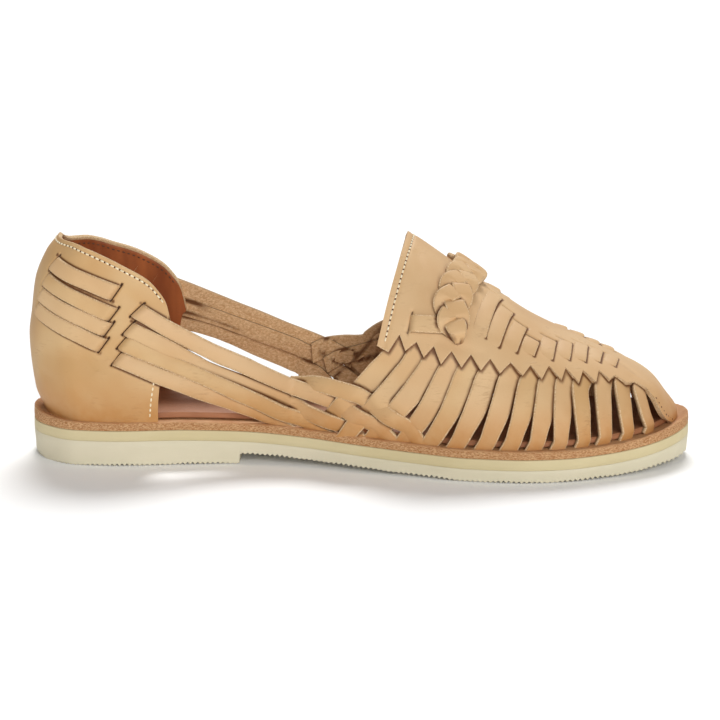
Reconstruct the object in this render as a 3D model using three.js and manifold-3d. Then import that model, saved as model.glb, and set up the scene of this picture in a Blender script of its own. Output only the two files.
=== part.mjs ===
// Huarache sandal, right foot: a woven leather upper on a leather midsole and a two-layer rubber sole.
// Millimetres, +X to the toe, -Y to the outer side of the foot, +Z up, standing on z = 0.

import * as THREE from 'three';
import initManifold from 'manifold-3d';

const library = await initManifold();
library.setup();
const { Manifold, Mesh } = library;

// Driving sizes of the sole
const LENGTH = 255;
const BALL_WIDTH = 90;
const RUBBER = 8.8; // both rubber layers under the ball
const UPPER_RUBBER = 4.0; // the yellower layer under the leather midsole
const HEEL_LIFT = 3.8; // step of the heel block at its breast
const HEEL_WEDGE = 1.0; // further rubber under the back of the heel
const HEEL_LENGTH = 83;
const TREAD_START = 168; // where the arch comes down to the floor
const SPRING_START = 195; // where the toe leaves the floor
const TOE_SPRING = 2.4;
const TOP_SPRING = 4.4; // rise of the layers above it at the toe tip
const HEEL_BEVEL = 2.5; // rounding of the sole's back edge
const LEATHER_MIDSOLE = 2.9;
const HEEL_CUP = 0.9; // rise of the midsole's rim at the back of the heel
const INSOLE = 2.2;
const GAP = 0.3; // between pieces that meet
const FACET = 0.15; // how far a facet may stand off the true surface

// Driving sizes of the upper
const SIDE_MARGIN = 2.0; // midsole rim outside the upper
const END_MARGIN = 4.5;
const INSOLE_MARGIN = 5.6; // insole edge inside the sole's outline, clear of the upper's inner face
const INSTEP_HEIGHT = 76; // ridge of the upper's outside above the midsole, at the tongue
const CROWN_FLAT = 3.4; // how much flatter the upper is along its ridge than its sections' curve
const COUNTER_HEIGHT = 68; // heel counter above the midsole, at the back
const COUNTER_WALL = 2.6; // leather and lining
const STRAP_WALL = 1.8;
const STRAP_RISE = 1.2; // how far a strap stands out of the wall that it is threaded through
const STRAP_ROOT = 0.7; // how deep it is joined into that wall
const STRIP_DEPTH = 2.7; // inner face of the straps and side strips, below the upper's outside
const PLUG_DEPTH = 1.6; // the vamp piece lies over the tops of the side strips
const PLUG_WALL = 1.9;
const WEAVE_RISE = 1.4; // a strap on top of another one
const BRAID_WIDTH = 12;
const BRAID_STRAND = 5.2;
const BRAID_WALL = 1.8;
const BRAID_PERIOD = 24;
const BRAID_RISE = 0.65;
const BRAID_SEAT = 0.6; // above the vamp piece, clear of its facets

// Half-widths of the sole as shares of the ball width: the outer and the inner side of the foot
const OUTLINE = [
  { along: 0.0, outer: 0.0, inner: 0.0 },
  { along: 0.03, outer: 0.217, inner: 0.217 },
  { along: 0.08, outer: 0.311, inner: 0.311 },
  { along: 0.14, outer: 0.326, inner: 0.322 },
  { along: 0.24, outer: 0.291, inner: 0.3 },
  { along: 0.34, outer: 0.267, inner: 0.267 },
  { along: 0.42, outer: 0.307, inner: 0.25 },
  { along: 0.5, outer: 0.387, inner: 0.278 },
  { along: 0.58, outer: 0.458, inner: 0.339 },
  { along: 0.66, outer: 0.52, inner: 0.406 },
  { along: 0.74, outer: 0.544, inner: 0.45 },
  { along: 0.8, outer: 0.52, inner: 0.456 },
  { along: 0.86, outer: 0.456, inner: 0.433 },
  { along: 0.92, outer: 0.36, inner: 0.367 },
  { along: 0.965, outer: 0.239, inner: 0.256 },
  { along: 0.99, outer: 0.122, inner: 0.133 },
  { along: 1.0, outer: 0.0, inner: 0.0 },
];

// Sections of the upper's outside: ridge as a share of the instep height, and the roundness of the section
const LAST = [
  { along: 0.0, ridge: 1.435, round: 2.3, lean: 0.0 },
  { along: 0.15, ridge: 1.388, round: 2.3, lean: 0.0 },
  { along: 0.3, ridge: 1.27, round: 2.25, lean: 0.0 },
  { along: 0.45, ridge: 1.135, round: 2.1, lean: 0.02 },
  { along: 0.57, ridge: 1.005, round: 1.9, lean: 0.035 },
  { along: 0.645, ridge: 0.857, round: 1.95, lean: 0.035 },
  { along: 0.7, ridge: 0.741, round: 2.0, lean: 0.035 },
  { along: 0.77, ridge: 0.589, round: 2.05, lean: 0.033 },
  { along: 0.855, ridge: 0.448, round: 2.1, lean: 0.03 },
  { along: 0.917, ridge: 0.338, round: 2.15, lean: 0.02 },
  { along: 0.96, ridge: 0.231, round: 2.2, lean: 0.01 },
  { along: 0.986, ridge: 0.105, round: 2.2, lean: 0.0 },
  { along: 1.0, ridge: 0.0, round: 2.2, lean: 0.0 },
];

// Where the crown is flatter, as shares of CROWN_FLAT
const FLATNESS = [
  { along: 0.0, flat: 0.0 },
  { along: 0.38, flat: 0.0 },
  { along: 0.5, flat: 0.75 },
  { along: 0.6, flat: 1.0 },
  { along: 0.75, flat: 1.1 },
  { along: 0.9, flat: 0.8 },
  { along: 0.96, flat: 0.55 },
  { along: 1.0, flat: 0.0 },
];

// Back curve of the heel: how far it stands in from its foot, as shares of the counter height
const BACK_CURVE = [
  { height: 0.0, forward: 0.0 },
  { height: 0.13, forward: -0.053 },
  { height: 0.42, forward: -0.081 },
  { height: 0.57, forward: -0.062 },
  { height: 0.74, forward: -0.038 },
  { height: 0.9, forward: 0.028 },
  { height: 1.0, forward: 0.105 },
  { height: 1.3, forward: 0.3 },
];

// Top line of the counter: how far up the last it reaches
const TOPLINE = [
  { along: 0.0, around: 0.394 },
  { along: 0.04, around: 0.396 },
  { along: 0.07, around: 0.387 },
  { along: 0.11, around: 0.366 },
  { along: 0.15, around: 0.337 },
  { along: 0.18, around: 0.311 },
  { along: 0.197, around: 0.283 },
  { along: 0.208, around: 0.255 },
  { along: 0.216, around: 0.2 },
];
const INNER_DROP = 0.02; // the collar is a little lower on the inner side
const COUNTER_FRONT = { low: 0.19, high: 0.216 };

// Straps threaded through the counter: the exposed stretch on the heel, front end and back end
const HEEL_STRAPS = [
  { back: [0.026, 0.334], front: [0.1335, 0.272], width: 6.4 },
  { back: [0.022, 0.291], front: [0.1305, 0.2175], width: 5.9 },
  { back: [0.018, 0.25], front: [0.1245, 0.1825], width: 5.9 },
  { back: [0.014, 0.214], front: [0.117, 0.146], width: 6.0 },
];

// Side straps from the counter to the waist: points as along, around, and the level in the weave
const OUTER_STRAPS = [
  { width: 7.0, path: [[0.165, 0.231, 2], [0.214, 0.193, 2], [0.26, 0.163, 0.5], [0.33, 0.127, 0.5],
    [0.4, 0.1, 0.5], [0.445, 0.09, 0.6], [0.468, 0.079, 0], [0.5, 0.058, 1], [0.53, 0.034, 0], [0.56, -0.03, 0]] },
  { width: 6.2, path: [[0.153, 0.187, 2], [0.207, 0.152, 2], [0.26, 0.126, 0.2], [0.33, 0.101, 0],
    [0.39, 0.074, 0], [0.42, 0.051, 0.6], [0.452, 0.034, 1], [0.485, 0.014, 0], [0.51, -0.03, 0]] },
  { width: 6.2, path: [[0.145, 0.155, 2], [0.2, 0.12, 2], [0.26, 0.09, 0.6], [0.33, 0.053, 0.7],
    [0.38, 0.03, 1], [0.42, 0.014, 0.3], [0.46, -0.03, 0]] },
  { width: 6.2, path: [[0.137, 0.12, 2], [0.193, 0.087, 2], [0.25, 0.059, 0.4], [0.31, 0.034, 0],
    [0.36, 0.012, 0], [0.4, -0.03, 0]] },
];
const INNER_STRAPS = [
  { width: 7.0, path: [[0.165, 0.25, 2], [0.214, 0.231, 2], [0.26, 0.214, 0.8], [0.33, 0.19, 1],
    [0.4, 0.166, 1], [0.445, 0.15, 0.6], [0.468, 0.137, 0], [0.5, 0.112, 1], [0.53, 0.08, 0],
    [0.575, -0.03, 0]] },
  { width: 6.2, path: [[0.153, 0.196, 2], [0.207, 0.176, 2], [0.26, 0.162, 0.3], [0.33, 0.147, 0.2],
    [0.39, 0.124, 0], [0.42, 0.106, 0.6], [0.452, 0.08, 1], [0.485, 0.05, 0], [0.53, -0.03, 0]] },
  { width: 6.2, path: [[0.145, 0.158, 2], [0.2, 0.14, 2], [0.26, 0.121, 0.6], [0.33, 0.095, 0.7],
    [0.38, 0.068, 1], [0.42, 0.045, 0.3], [0.475, -0.03, 0]] },
  { width: 6.2, path: [[0.137, 0.121, 2], [0.193, 0.1, 2], [0.25, 0.078, 0.4], [0.31, 0.053, 0],
    [0.36, 0.027, 0], [0.41, -0.03, 0]] },
];
// A short strap closes the weave above the others; the inner one runs up under the tongue
const INNER_TOP_STRAP = [[0.42, 0.13, -0.3], [0.445, 0.16, 0.8], [0.47, 0.19, 1.2], [0.5, 0.222, 1],
  [0.53, 0.255, 0.3], [0.56, 0.3, 0], [0.58, 0.36, 0]];
const TOP_STRAP = [[0.418, 0.118, -0.6], [0.432, 0.121, 0.8], [0.462, 0.122, 1.2], [0.497, 0.122, 1], [0.52, 0.108, 0],
  [0.552, 0.08, 1.2], [0.58, 0.045, 0], [0.6, -0.03, 0]];

// Strips of the vamp: foot, neck below the vamp piece, width, and the raised stretch towards the spine
const VAMP_STRIPS = [
  { foot: 0.44, neck: [0.558, 0.294], width: 6.6 },
  { foot: 0.483, neck: [0.586, 0.279], width: 6.6 },
  { foot: 0.522, neck: [0.611, 0.277], width: 6.6 },
  { foot: 0.571, neck: [0.64, 0.285], width: 6.6, raised: [[0.684, 0.475], [0.713, 0.92]] },
  { foot: 0.61, neck: [0.667, 0.294], width: 6.6, raised: [[0.704, 0.458], [0.73, 0.81]] },
  { foot: 0.65, neck: [0.697, 0.297], width: 6.5, raised: [[0.731, 0.475], [0.75, 0.73]] },
  { foot: 0.694, neck: [0.729, 0.308], width: 6.4, raised: [[0.758, 0.505], [0.768, 0.651]] },
  { foot: 0.733, neck: [0.761, 0.329], width: 6.3, raised: [[0.786, 0.524], [0.795, 0.738]] },
  { foot: 0.772, neck: [0.79, 0.352], width: 6.2, raised: [[0.813, 0.575], [0.82, 0.8]] },
  { foot: 0.81, neck: [0.815, 0.357], width: 6.0, raised: [[0.839, 0.61], [0.846, 0.88]] },
  { foot: 0.848, neck: [0.842, 0.378], width: 5.8, raised: [[0.863, 0.67], [0.871, 0.91]] },
  { foot: 0.882, neck: [0.877, 0.42], width: 5.8, raised: [[0.887, 0.69], [0.895, 0.91]] },
  { foot: 0.919, neck: [0.909, 0.46], width: 5.8 },
  { foot: 0.957, neck: [0.937, 0.49], width: 5.6 },
];
const WEAVE_START = { along: 0.4, around: 0.11, levels: [[0, 1, 0], [1, 0, 1], [0, 0, 1]] };

// Lower edge of the vamp piece: a point over each strip's top and one between strips
const PLUG_EDGE = [
  { along: 0.531, around: 0.29 },
  { along: 0.548, around: 0.283 },
  { along: 0.565, around: 0.353 },
  { along: 0.574, around: 0.304 },
  { along: 0.591, around: 0.347 },
  { along: 0.602, around: 0.302 },
  { along: 0.617, around: 0.355 },
  { along: 0.628, around: 0.298 },
  { along: 0.644, around: 0.363 },
  { along: 0.659, around: 0.312 },
  { along: 0.673, around: 0.379 },
  { along: 0.688, around: 0.324 },
  { along: 0.702, around: 0.39 },
  { along: 0.717, around: 0.339 },
  { along: 0.733, around: 0.412 },
  { along: 0.751, around: 0.367 },
  { along: 0.763, around: 0.439 },
  { along: 0.78, around: 0.38 },
  { along: 0.791, around: 0.474 },
  { along: 0.81, around: 0.404 },
  { along: 0.817, around: 0.496 },
  { along: 0.837, around: 0.412 },
  { along: 0.844, around: 0.517 },
  { along: 0.864, around: 0.449 },
  { along: 0.869, around: 0.561 },
  { along: 0.886, around: 0.498 },
  { along: 0.894, around: 0.56 },
  { along: 0.913, around: 0.513 },
  { along: 0.925, around: 0.56 },
  { along: 0.945, around: 0.54 },
  { along: 0.956, around: 0.42 },
  { along: 0.969, around: 0.2 },
  { along: 0.983, around: 0.03 },
  { along: 0.99, around: -0.04 },
  { along: 0.998, around: -0.04 },
];
const TONGUE = { low: 0.531, high: 0.572, until: 0.63 }; // back edge, at its corners and at the ridge

// Braid over the instep, from the outer notch of the vamp piece to the inner one
const BRAID_PATH = [[0.643, 0.42], [0.639, 0.49], [0.644, 0.61], [0.656, 0.79], [0.668, 1.0],
  [0.656, 1.21], [0.644, 1.39], [0.639, 1.51], [0.643, 1.58]];
const BRAID_TAIL = [[0.579, 0.41], [0.6, 0.422], [0.62, 0.432], [0.64, 0.45]];

// Smooth curve through a table's column, in the angle that makes its two ends round
const angleOf = (along) => Math.acos(1 - 2 * Math.min(Math.max(along, 0), 1));
const alongOf = (angle) => (1 - Math.cos(angle)) / 2;

function curveThrough(rows, input, output, measure = (value) => value) {
  const xs = rows.map((row) => measure(row[input]));
  const ys = rows.map((row) => row[output]);
  const last = rows.length - 1;
  const slope = xs.map((x, i) => {
    const before = i > 0 ? (ys[i] - ys[i - 1]) / (xs[i] - xs[i - 1]) : null;
    const after = i < last ? (ys[i + 1] - ys[i]) / (xs[i + 1] - xs[i]) : null;
    if (before === null) return after;
    if (after === null) return before;
    return before * after <= 0 ? 0 : (2 * before * after) / (before + after);
  });
  return (value) => {
    const x = Math.min(Math.max(measure(value), xs[0]), xs[last]);
    let i = 0;
    while (i < last - 1 && x > xs[i + 1]) i += 1;
    const width = xs[i + 1] - xs[i];
    const t = (x - xs[i]) / width;
    const t2 = t * t;
    const t3 = t2 * t;
    return ys[i] * (2 * t3 - 3 * t2 + 1) + ys[i + 1] * (3 * t2 - 2 * t3)
      + width * (slope[i] * (t3 - 2 * t2 + t) + slope[i + 1] * (t3 - t2));
  };
}

const outerShare = curveThrough(OUTLINE, 'along', 'outer', angleOf);
const innerShare = curveThrough(OUTLINE, 'along', 'inner', angleOf);
const ridgeShare = curveThrough(LAST, 'along', 'ridge', angleOf);
const roundness = curveThrough(LAST, 'along', 'round', angleOf);
const leanShare = curveThrough(LAST, 'along', 'lean', angleOf);
const backShare = curveThrough(BACK_CURVE, 'height', 'forward');
const flatness = curveThrough(FLATNESS, 'along', 'flat');
const topline = curveThrough(TOPLINE, 'along', 'around');

const clamp = (value, low = 0, high = 1) => Math.min(Math.max(value, low), high);
const mix = (a, b, t) => a + (b - a) * t;
const smooth = (t) => t * t * (3 - 2 * t);

// The collar line, a little lower on the inner side
const toplineAt = (turn) => {
  const drop = smooth(clamp(turn / 0.3)) * mix(1, 0.5, smooth(clamp((turn - 0.6) / 0.2)));
  return topline(alongOf(turn)) - INNER_DROP * drop;
};

// Half-width of the sole on one side, side -1 being the outer one
const halfWidth = (along, side) => BALL_WIDTH * (side < 0 ? outerShare(along) : innerShare(along));

// Heights above the floor along the sole
function soleBottom(x) {
  const spring = TOE_SPRING * clamp((x - SPRING_START) / (LENGTH - SPRING_START)) ** 2;
  if (x <= HEEL_LENGTH - 1) return HEEL_BEVEL * clamp((8 - x) / 8) ** 2;
  return HEEL_LIFT * clamp((TREAD_START - x) / (TREAD_START - HEEL_LENGTH)) + spring;
}
function rubberTop(x) {
  const rise = clamp((TREAD_START - x) / (TREAD_START - 60));
  const heel = (HEEL_LIFT + HEEL_WEDGE) * mix(rise, smooth(rise), 0.35);
  return RUBBER + heel + TOP_SPRING * clamp((x - SPRING_START) / (LENGTH - SPRING_START)) ** 2.6;
}
function midsoleTop(x) {
  return rubberTop(x) + GAP + LEATHER_MIDSOLE + HEEL_CUP * clamp((18 - x) / 18) ** 2;
}

// A closed wall from stations of paired points: rows run along it, columns across it
function wall(stations) {
  const columns = stations[0].length;
  const positions = stations.flat().flatMap(({ outer, inner }) => [...outer.toArray(), ...inner.toArray()]);
  const index = (row, column, side) => (row * columns + column) * 2 + side;
  const triangles = [];
  const quad = (a, b, c, d) => triangles.push(a, b, c, a, c, d);
  for (let i = 0; i < stations.length - 1; i += 1) {
    for (let k = 0; k < columns - 1; k += 1) {
      quad(index(i, k, 0), index(i + 1, k, 0), index(i + 1, k + 1, 0), index(i, k + 1, 0));
      quad(index(i, k, 1), index(i, k + 1, 1), index(i + 1, k + 1, 1), index(i + 1, k, 1));
    }
    quad(index(i, 0, 0), index(i, 0, 1), index(i + 1, 0, 1), index(i + 1, 0, 0));
    const edge = columns - 1;
    quad(index(i, edge, 0), index(i + 1, edge, 0), index(i + 1, edge, 1), index(i, edge, 1));
  }
  const end = stations.length - 1;
  for (let k = 0; k < columns - 1; k += 1) {
    quad(index(0, k, 0), index(0, k + 1, 0), index(0, k + 1, 1), index(0, k, 1));
    quad(index(end, k, 0), index(end, k, 1), index(end, k + 1, 1), index(end, k + 1, 0));
  }
  const make = (order) => new Manifold(new Mesh({
    numProp: 3,
    vertProperties: new Float32Array(positions),
    triVerts: new Uint32Array(order),
  }));
  const solid = make(triangles);
  return solid.volume() > 0 ? solid : make(triangles.slice().reverse());
}

// A layer of the sole between two height functions, inset from the outline
const EDGE_SHARES = [0.0004, 0.004, 0.012, 0.025, 0.04];
const SOLE_STATIONS = [
  ...EDGE_SHARES,
  ...Array.from({ length: 23 }, (_, i) => 0.06 + (0.94 - 0.06) * (i / 22)),
  (HEEL_LENGTH - 1) / LENGTH,
  HEEL_LENGTH / LENGTH,
  ...EDGE_SHARES.map((share) => 1 - share),
].sort((a, b) => a - b);

function soleLayer(bottom, top, { inset = 0, endInset = inset, undercut = 0 } = {}) {
  return wall(SOLE_STATIONS.map((along) => {
    const x = mix(endInset, LENGTH - endInset, along);
    const low = bottom(x);
    const high = top(x);
      return [-1, 0, 1].map((side) => {
      const half = halfWidth(along, side);
      const y = side * half * (1 - inset / Math.max(half, 2.2 * inset, 1));
      const lowY = y - side * Math.min(undercut, Math.abs(y) / 2);
      return { outer: new THREE.Vector3(x, y, high), inner: new THREE.Vector3(x, lowY, low) };
    });
  }));
}

// The outside of the upper, which follows the last: turn is the angle round the foot, 0 at the back of the heel, negative on the outer side and
// past +-PI at the toe; around runs from 0 at the sole to 1 on the ridge, and past 1 down the other side
const lastLength = LENGTH - 2 * END_MARGIN;
const lastNarrow = 1 - SIDE_MARGIN / (BALL_WIDTH / 2);

function lastPoint(turn, around) {
  if (around > 1) return lastPoint(-turn, 2 - around);
  const side = turn < 0 ? -1 : 1;
  const along = alongOf(turn);
  const x = END_MARGIN + lastLength * along;
  const base = midsoleTop(x) + GAP;
  const half = halfWidth(along, side) * lastNarrow;
  const ridge = INSTEP_HEIGHT * ridgeShare(along);
  const power = 2 / roundness(along);
  const angle = (Math.max(around, 0) * Math.PI) / 2;
  const flat = CROWN_FLAT * flatness(along) * smooth(clamp((around - 0.42) / 0.58));
  const height = ridge * Math.sin(angle) ** power + Math.min(around, 0) * INSTEP_HEIGHT - flat;
  const belly = 0.02 * BALL_WIDTH * (along < 0.4 ? 1 : 0.6) * Math.sin(clamp(height / 24) * Math.PI);
  const width = half * Math.cos(angle) ** power + belly * clamp(half / 25);
  const lean = BALL_WIDTH * leanShare(along) * Math.sin(angle) ** 2;
  const backward = COUNTER_HEIGHT * backShare(height / COUNTER_HEIGHT) * clamp(1 - along / 0.28) ** 2;
  return new THREE.Vector3(x + backward, side * width + lean, base + height);
}

function lastFrame(turn, around) {
  const step = 0.004;
  const up = lastPoint(turn, around + step).sub(lastPoint(turn, around - step)).divideScalar(2 * step);
  const forth = lastPoint(turn + step, around).sub(lastPoint(turn - step, around)).divideScalar(2 * step);
  const normal = new THREE.Vector3().crossVectors(up, forth).normalize();
  return { up, forth, normal };
}

// A point lifted off the last along its normal
function skin(turn, around, lift) {
  const { normal } = lastFrame(turn, clamp(around, 0.01, 1.99));
  return lastPoint(turn, around).addScaledVector(normal, lift);
}

// A strap on the last: a path of [turn, around, lift] points, with its own width and thickness
function strap(path, width, thickness, steps) {
  const coordinate = (column) => {
    const rows = path.map((point, i) => ({ place: i / (path.length - 1), value: point[column] ?? 0 }));
    return curveThrough(rows, 'place', 'value');
  };
  const turnAt = coordinate(0);
  const aroundAt = coordinate(1);
  const liftAt = coordinate(2);
  return wall(Array.from({ length: steps + 1 }, (_, i) => {
    const t = i / steps;
    const step = 0.01;
    const turn = turnAt(t);
    const around = aroundAt(t);
    const { up, forth, normal } = lastFrame(turn, clamp(around, 0.02, 1.98));
    const turnRate = turnAt(Math.min(t + step, 1)) - turnAt(Math.max(t - step, 0));
    const aroundRate = aroundAt(Math.min(t + step, 1)) - aroundAt(Math.max(t - step, 0));
    const tangent = forth.clone().multiplyScalar(turnRate).addScaledVector(up, aroundRate);
    const across = new THREE.Vector3().crossVectors(normal, tangent).normalize();
    const ff = forth.dot(forth);
    const uu = up.dot(up);
    const fu = forth.dot(up);
    const determinant = ff * uu - fu * fu;
    const turnShift = (across.dot(forth) * uu - across.dot(up) * fu) / determinant;
    const aroundShift = (across.dot(up) * ff - across.dot(forth) * fu) / determinant;
    return [-0.5, 0.5].map((side) => {
      const place = [turn + turnShift * side * width, around + aroundShift * side * width];
      return {
        outer: skin(...place, liftAt(t) + thickness),
        inner: skin(...place, liftAt(t)),
      };
    });
  }));
}

// Straps of both tables: along and around become turn and around on the given side
const onSide = (side, path, liftOf = (level) => level) =>
  path.map(([along, around, level = 0]) => [side * angleOf(along), around, liftOf(level)]);

// Heel counter with the exposed stretches of the straps threaded through it
function counter() {
  const columns = 30;
  const levels = 5;
  const sheet = wall(Array.from({ length: columns + 1 }, (_, i) => {
    const share = (2 * i) / columns - 1;
    return Array.from({ length: levels }, (_, k) => {
      const level = k / (levels - 1);
      const front = angleOf(mix(COUNTER_FRONT.low, COUNTER_FRONT.high, level));
      const turn = share * front;
      const around = mix(-0.03, toplineAt(turn), level);
      return { outer: skin(turn, around, 0), inner: skin(turn, around, -COUNTER_WALL) };
    });
  }));
  const straps = [-1, 1].flatMap((side) => HEEL_STRAPS.map(({ back, front, width }) => {
    const middle = [mix(back[0], front[0], 0.45), mix(back[1], front[1], 0.47)];
    const path = onSide(side, [back, middle, front], () => -STRAP_ROOT);
    return strap(path, width, STRAP_RISE + STRAP_ROOT, 5);
  }));
  return [sheet, ...straps];
}

// Side straps: out of the counter, along the waist and into the weave
function sideStraps() {
  const liftOf = (level) => (level === 2 ? -STRAP_ROOT : level * WEAVE_RISE - STRIP_DEPTH);
  const sides = [[-1, OUTER_STRAPS], [1, INNER_STRAPS]];
  return sides.flatMap(([side, straps]) => [
    ...straps.map(({ width, path }) => strap(onSide(side, path, liftOf), width, STRAP_WALL, Math.round(path.length * 1.3))),
    strap(onSide(side, side < 0 ? TOP_STRAP : INNER_TOP_STRAP, liftOf), 6.4, STRAP_WALL, 14),
  ]);
}

// Strips of the vamp from the sole to under the vamp piece, with the raised stretch towards the spine
function vampStrips() {
  return [-1, 1].flatMap((side) => VAMP_STRIPS.flatMap(({ foot, neck, width, raised }, number) => {
    const woven = WEAVE_START.levels[number] ?? [0, 0, 0];
    const [low, middle, high] = woven;
    const leaning = number < WEAVE_START.levels.length ? 0.032 : 0.003;
    const tuck = raised ? raised[0] : [neck[0] + leaning, neck[1] + 0.25];
    const path = [
      [foot - 0.008, -0.035, low],
      [mix(foot, neck[0], 0.14), neck[1] * 0.1, low],
      [mix(foot, neck[0], 0.33), neck[1] * 0.27, middle],
      [mix(foot, neck[0], 0.52), neck[1] * 0.44, high],
      [mix(foot, neck[0], 0.76), neck[1] * 0.7, 0],
      [neck[0], neck[1], 0],
      [mix(neck[0], tuck[0], 0.65), mix(neck[1], tuck[1], 0.65), 0],
    ];
    const liftOf = (level) => level * WEAVE_RISE - STRIP_DEPTH;
    const lower = strap(onSide(side, path, liftOf), width, STRAP_WALL, 6);
    if (!raised) return [lower];
    const lift = PLUG_WALL - PLUG_DEPTH - STRAP_ROOT;
    return [lower, strap(onSide(side, raised, () => lift), width, STRAP_RISE + STRAP_ROOT, 2)];
  }));
}

// The vamp piece: tongue, zigzag bands, spine and toe in one wall across the foot
function vampPiece() {
  const steps = 5;
  const ridgeAngle = angleOf(TONGUE.high);
  const reach = angleOf(TONGUE.until) - angleOf(TONGUE.low);
  return wall(PLUG_EDGE.map(({ along, around: edge }) => {
    const shares = Array.from({ length: 2 * steps + 1 }, (_, k) => k / steps);
    return shares.map((share) => {
      const around = share <= 1 ? mix(edge, 1, share) : mix(1, 2 - edge, share - 1);
      const climb = clamp(1 - Math.abs(share - 1));
      const start = mix(angleOf(TONGUE.low), ridgeAngle, Math.sin((climb * Math.PI) / 2));
      const angle = angleOf(along);
      const passed = (angle - angleOf(TONGUE.low)) / reach;
      const turn = passed < 1 ? mix(start, angleOf(TONGUE.until), passed) : angle;
      return {
        outer: skin(-turn, around, PLUG_WALL - PLUG_DEPTH),
        inner: skin(-turn, around, -PLUG_DEPTH),
      };
    });
  }));
}

// The joined solid without the slivers that facets leave between straps
function onePiece(solid) {
  const bodies = solid.simplify(FACET).decompose();
  return bodies.reduce((best, body) => (body.volume() > best.volume() ? body : best));
}

// Everything of the upper that lies below the top of the midsole is cut away
function belowMidsole() {
  return wall(Array.from({ length: 60 }, (_, i) => {
    const x = mix(-20, LENGTH + 20, i / 59);
    const top = midsoleTop(clamp(x, 0, LENGTH)) + GAP;
    return [-BALL_WIDTH, BALL_WIDTH].map((y) => ({
      outer: new THREE.Vector3(x, y, top),
      inner: new THREE.Vector3(x, y, -RUBBER),
    }));
  }));
}

function upper() {
  const pieces = [...counter(), ...sideStraps(), ...vampStrips(), vampPiece()];
  return onePiece(Manifold.union(pieces).subtract(belowMidsole()));
}

// Three-strand braid lying on the vamp piece, with the strand that comes in from the side
function instepBraid() {
  const seat = PLUG_WALL - PLUG_DEPTH + BRAID_SEAT;
  const rows = BRAID_PATH.map(([along, around], i) => ({
    place: i / (BRAID_PATH.length - 1), turn: -angleOf(along), around,
  }));
  const turnAt = curveThrough(rows, 'place', 'turn');
  const aroundAt = curveThrough(rows, 'place', 'around');
  const samples = 32;
  const centre = Array.from({ length: samples + 1 }, (_, i) => [turnAt(i / samples), aroundAt(i / samples)]);
  let run = 0;
  const lengths = centre.map((place, i) => {
    if (i > 0) run += lastPoint(...place).distanceTo(lastPoint(...centre[i - 1]));
    return run;
  });
  const sway = (BRAID_WIDTH - BRAID_STRAND) / 2;
  const strands = [0, 1, 2].map((strand) => {
    const path = centre.map(([turn, around], i) => {
      const phase = 2 * Math.PI * (lengths[i] / BRAID_PERIOD + strand / 3);
      const { forth } = lastFrame(turn, around);
      const shift = (sway * Math.sin(phase)) / forth.length();
      return [turn + shift, around, seat + BRAID_RISE * (1 + Math.sin(2 * phase))];
    });
    return strap(path, BRAID_STRAND, BRAID_WALL, samples);
  });
  const tail = strap(onSide(-1, BRAID_TAIL, () => seat), 6.6, BRAID_WALL, 6);
  return onePiece(Manifold.union([...strands, tail]));
}

// The footbed inside the upper
function insole() {
  const bottom = (x) => midsoleTop(x) + GAP;
  return soleLayer(bottom, (x) => bottom(x) + INSOLE, { inset: INSOLE_MARGIN, endInset: INSOLE_MARGIN + 2.2 });
}

function toMesh(name, solid, color, roughness) {
  const { numProp, vertProperties, triVerts } = solid.getMesh();
  const positions = new Float32Array((vertProperties.length / numProp) * 3);
  for (let i = 0; i < positions.length / 3; i += 1) {
    for (let k = 0; k < 3; k += 1) positions[i * 3 + k] = vertProperties[i * numProp + k];
  }
  const geometry = new THREE.BufferGeometry();
  geometry.setAttribute('position', new THREE.BufferAttribute(positions, 3));
  geometry.setIndex(new THREE.BufferAttribute(new Uint32Array(triVerts), 1));
  geometry.computeVertexNormals();
  const mesh = new THREE.Mesh(geometry, new THREE.MeshStandardMaterial({ color, roughness, metalness: 0 }));
  mesh.name = name;
  return mesh;
}

const rubberSplit = (x) => rubberTop(x) - UPPER_RUBBER;

const sandal = new THREE.Group();
sandal.add(toMesh('outsole', soleLayer(soleBottom, (x) => rubberSplit(x) - GAP, { undercut: 0.8 }), 0xd5cfb4, 0.75));
sandal.add(toMesh('rubber_midsole', soleLayer(rubberSplit, rubberTop), 0xd6cd9e, 0.7));
sandal.add(toMesh('leather_midsole', soleLayer((x) => rubberTop(x) + GAP, midsoleTop), 0xc48a5a, 0.8));
sandal.add(toMesh('insole', insole(), 0x9c6244, 0.7));
sandal.add(toMesh('upper', upper(), 0xd9b283, 0.6));
sandal.add(toMesh('instep_braid', instepBraid(), 0xdcb689, 0.6));

// The frame's origin is the middle of the whole box, on the floor
const box = new THREE.Box3().setFromObject(sandal);
sandal.position.set(-(box.min.x + box.max.x) / 2, -(box.min.y + box.max.y) / 2, -box.min.z);

export default sandal;
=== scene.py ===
"""Woven huarache sandal for the right foot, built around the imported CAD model.

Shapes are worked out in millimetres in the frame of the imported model: +X to the toe,
-Y to the outer side of the foot, the sole standing on z = 0. Meshes are in metres.
"""

import math

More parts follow.
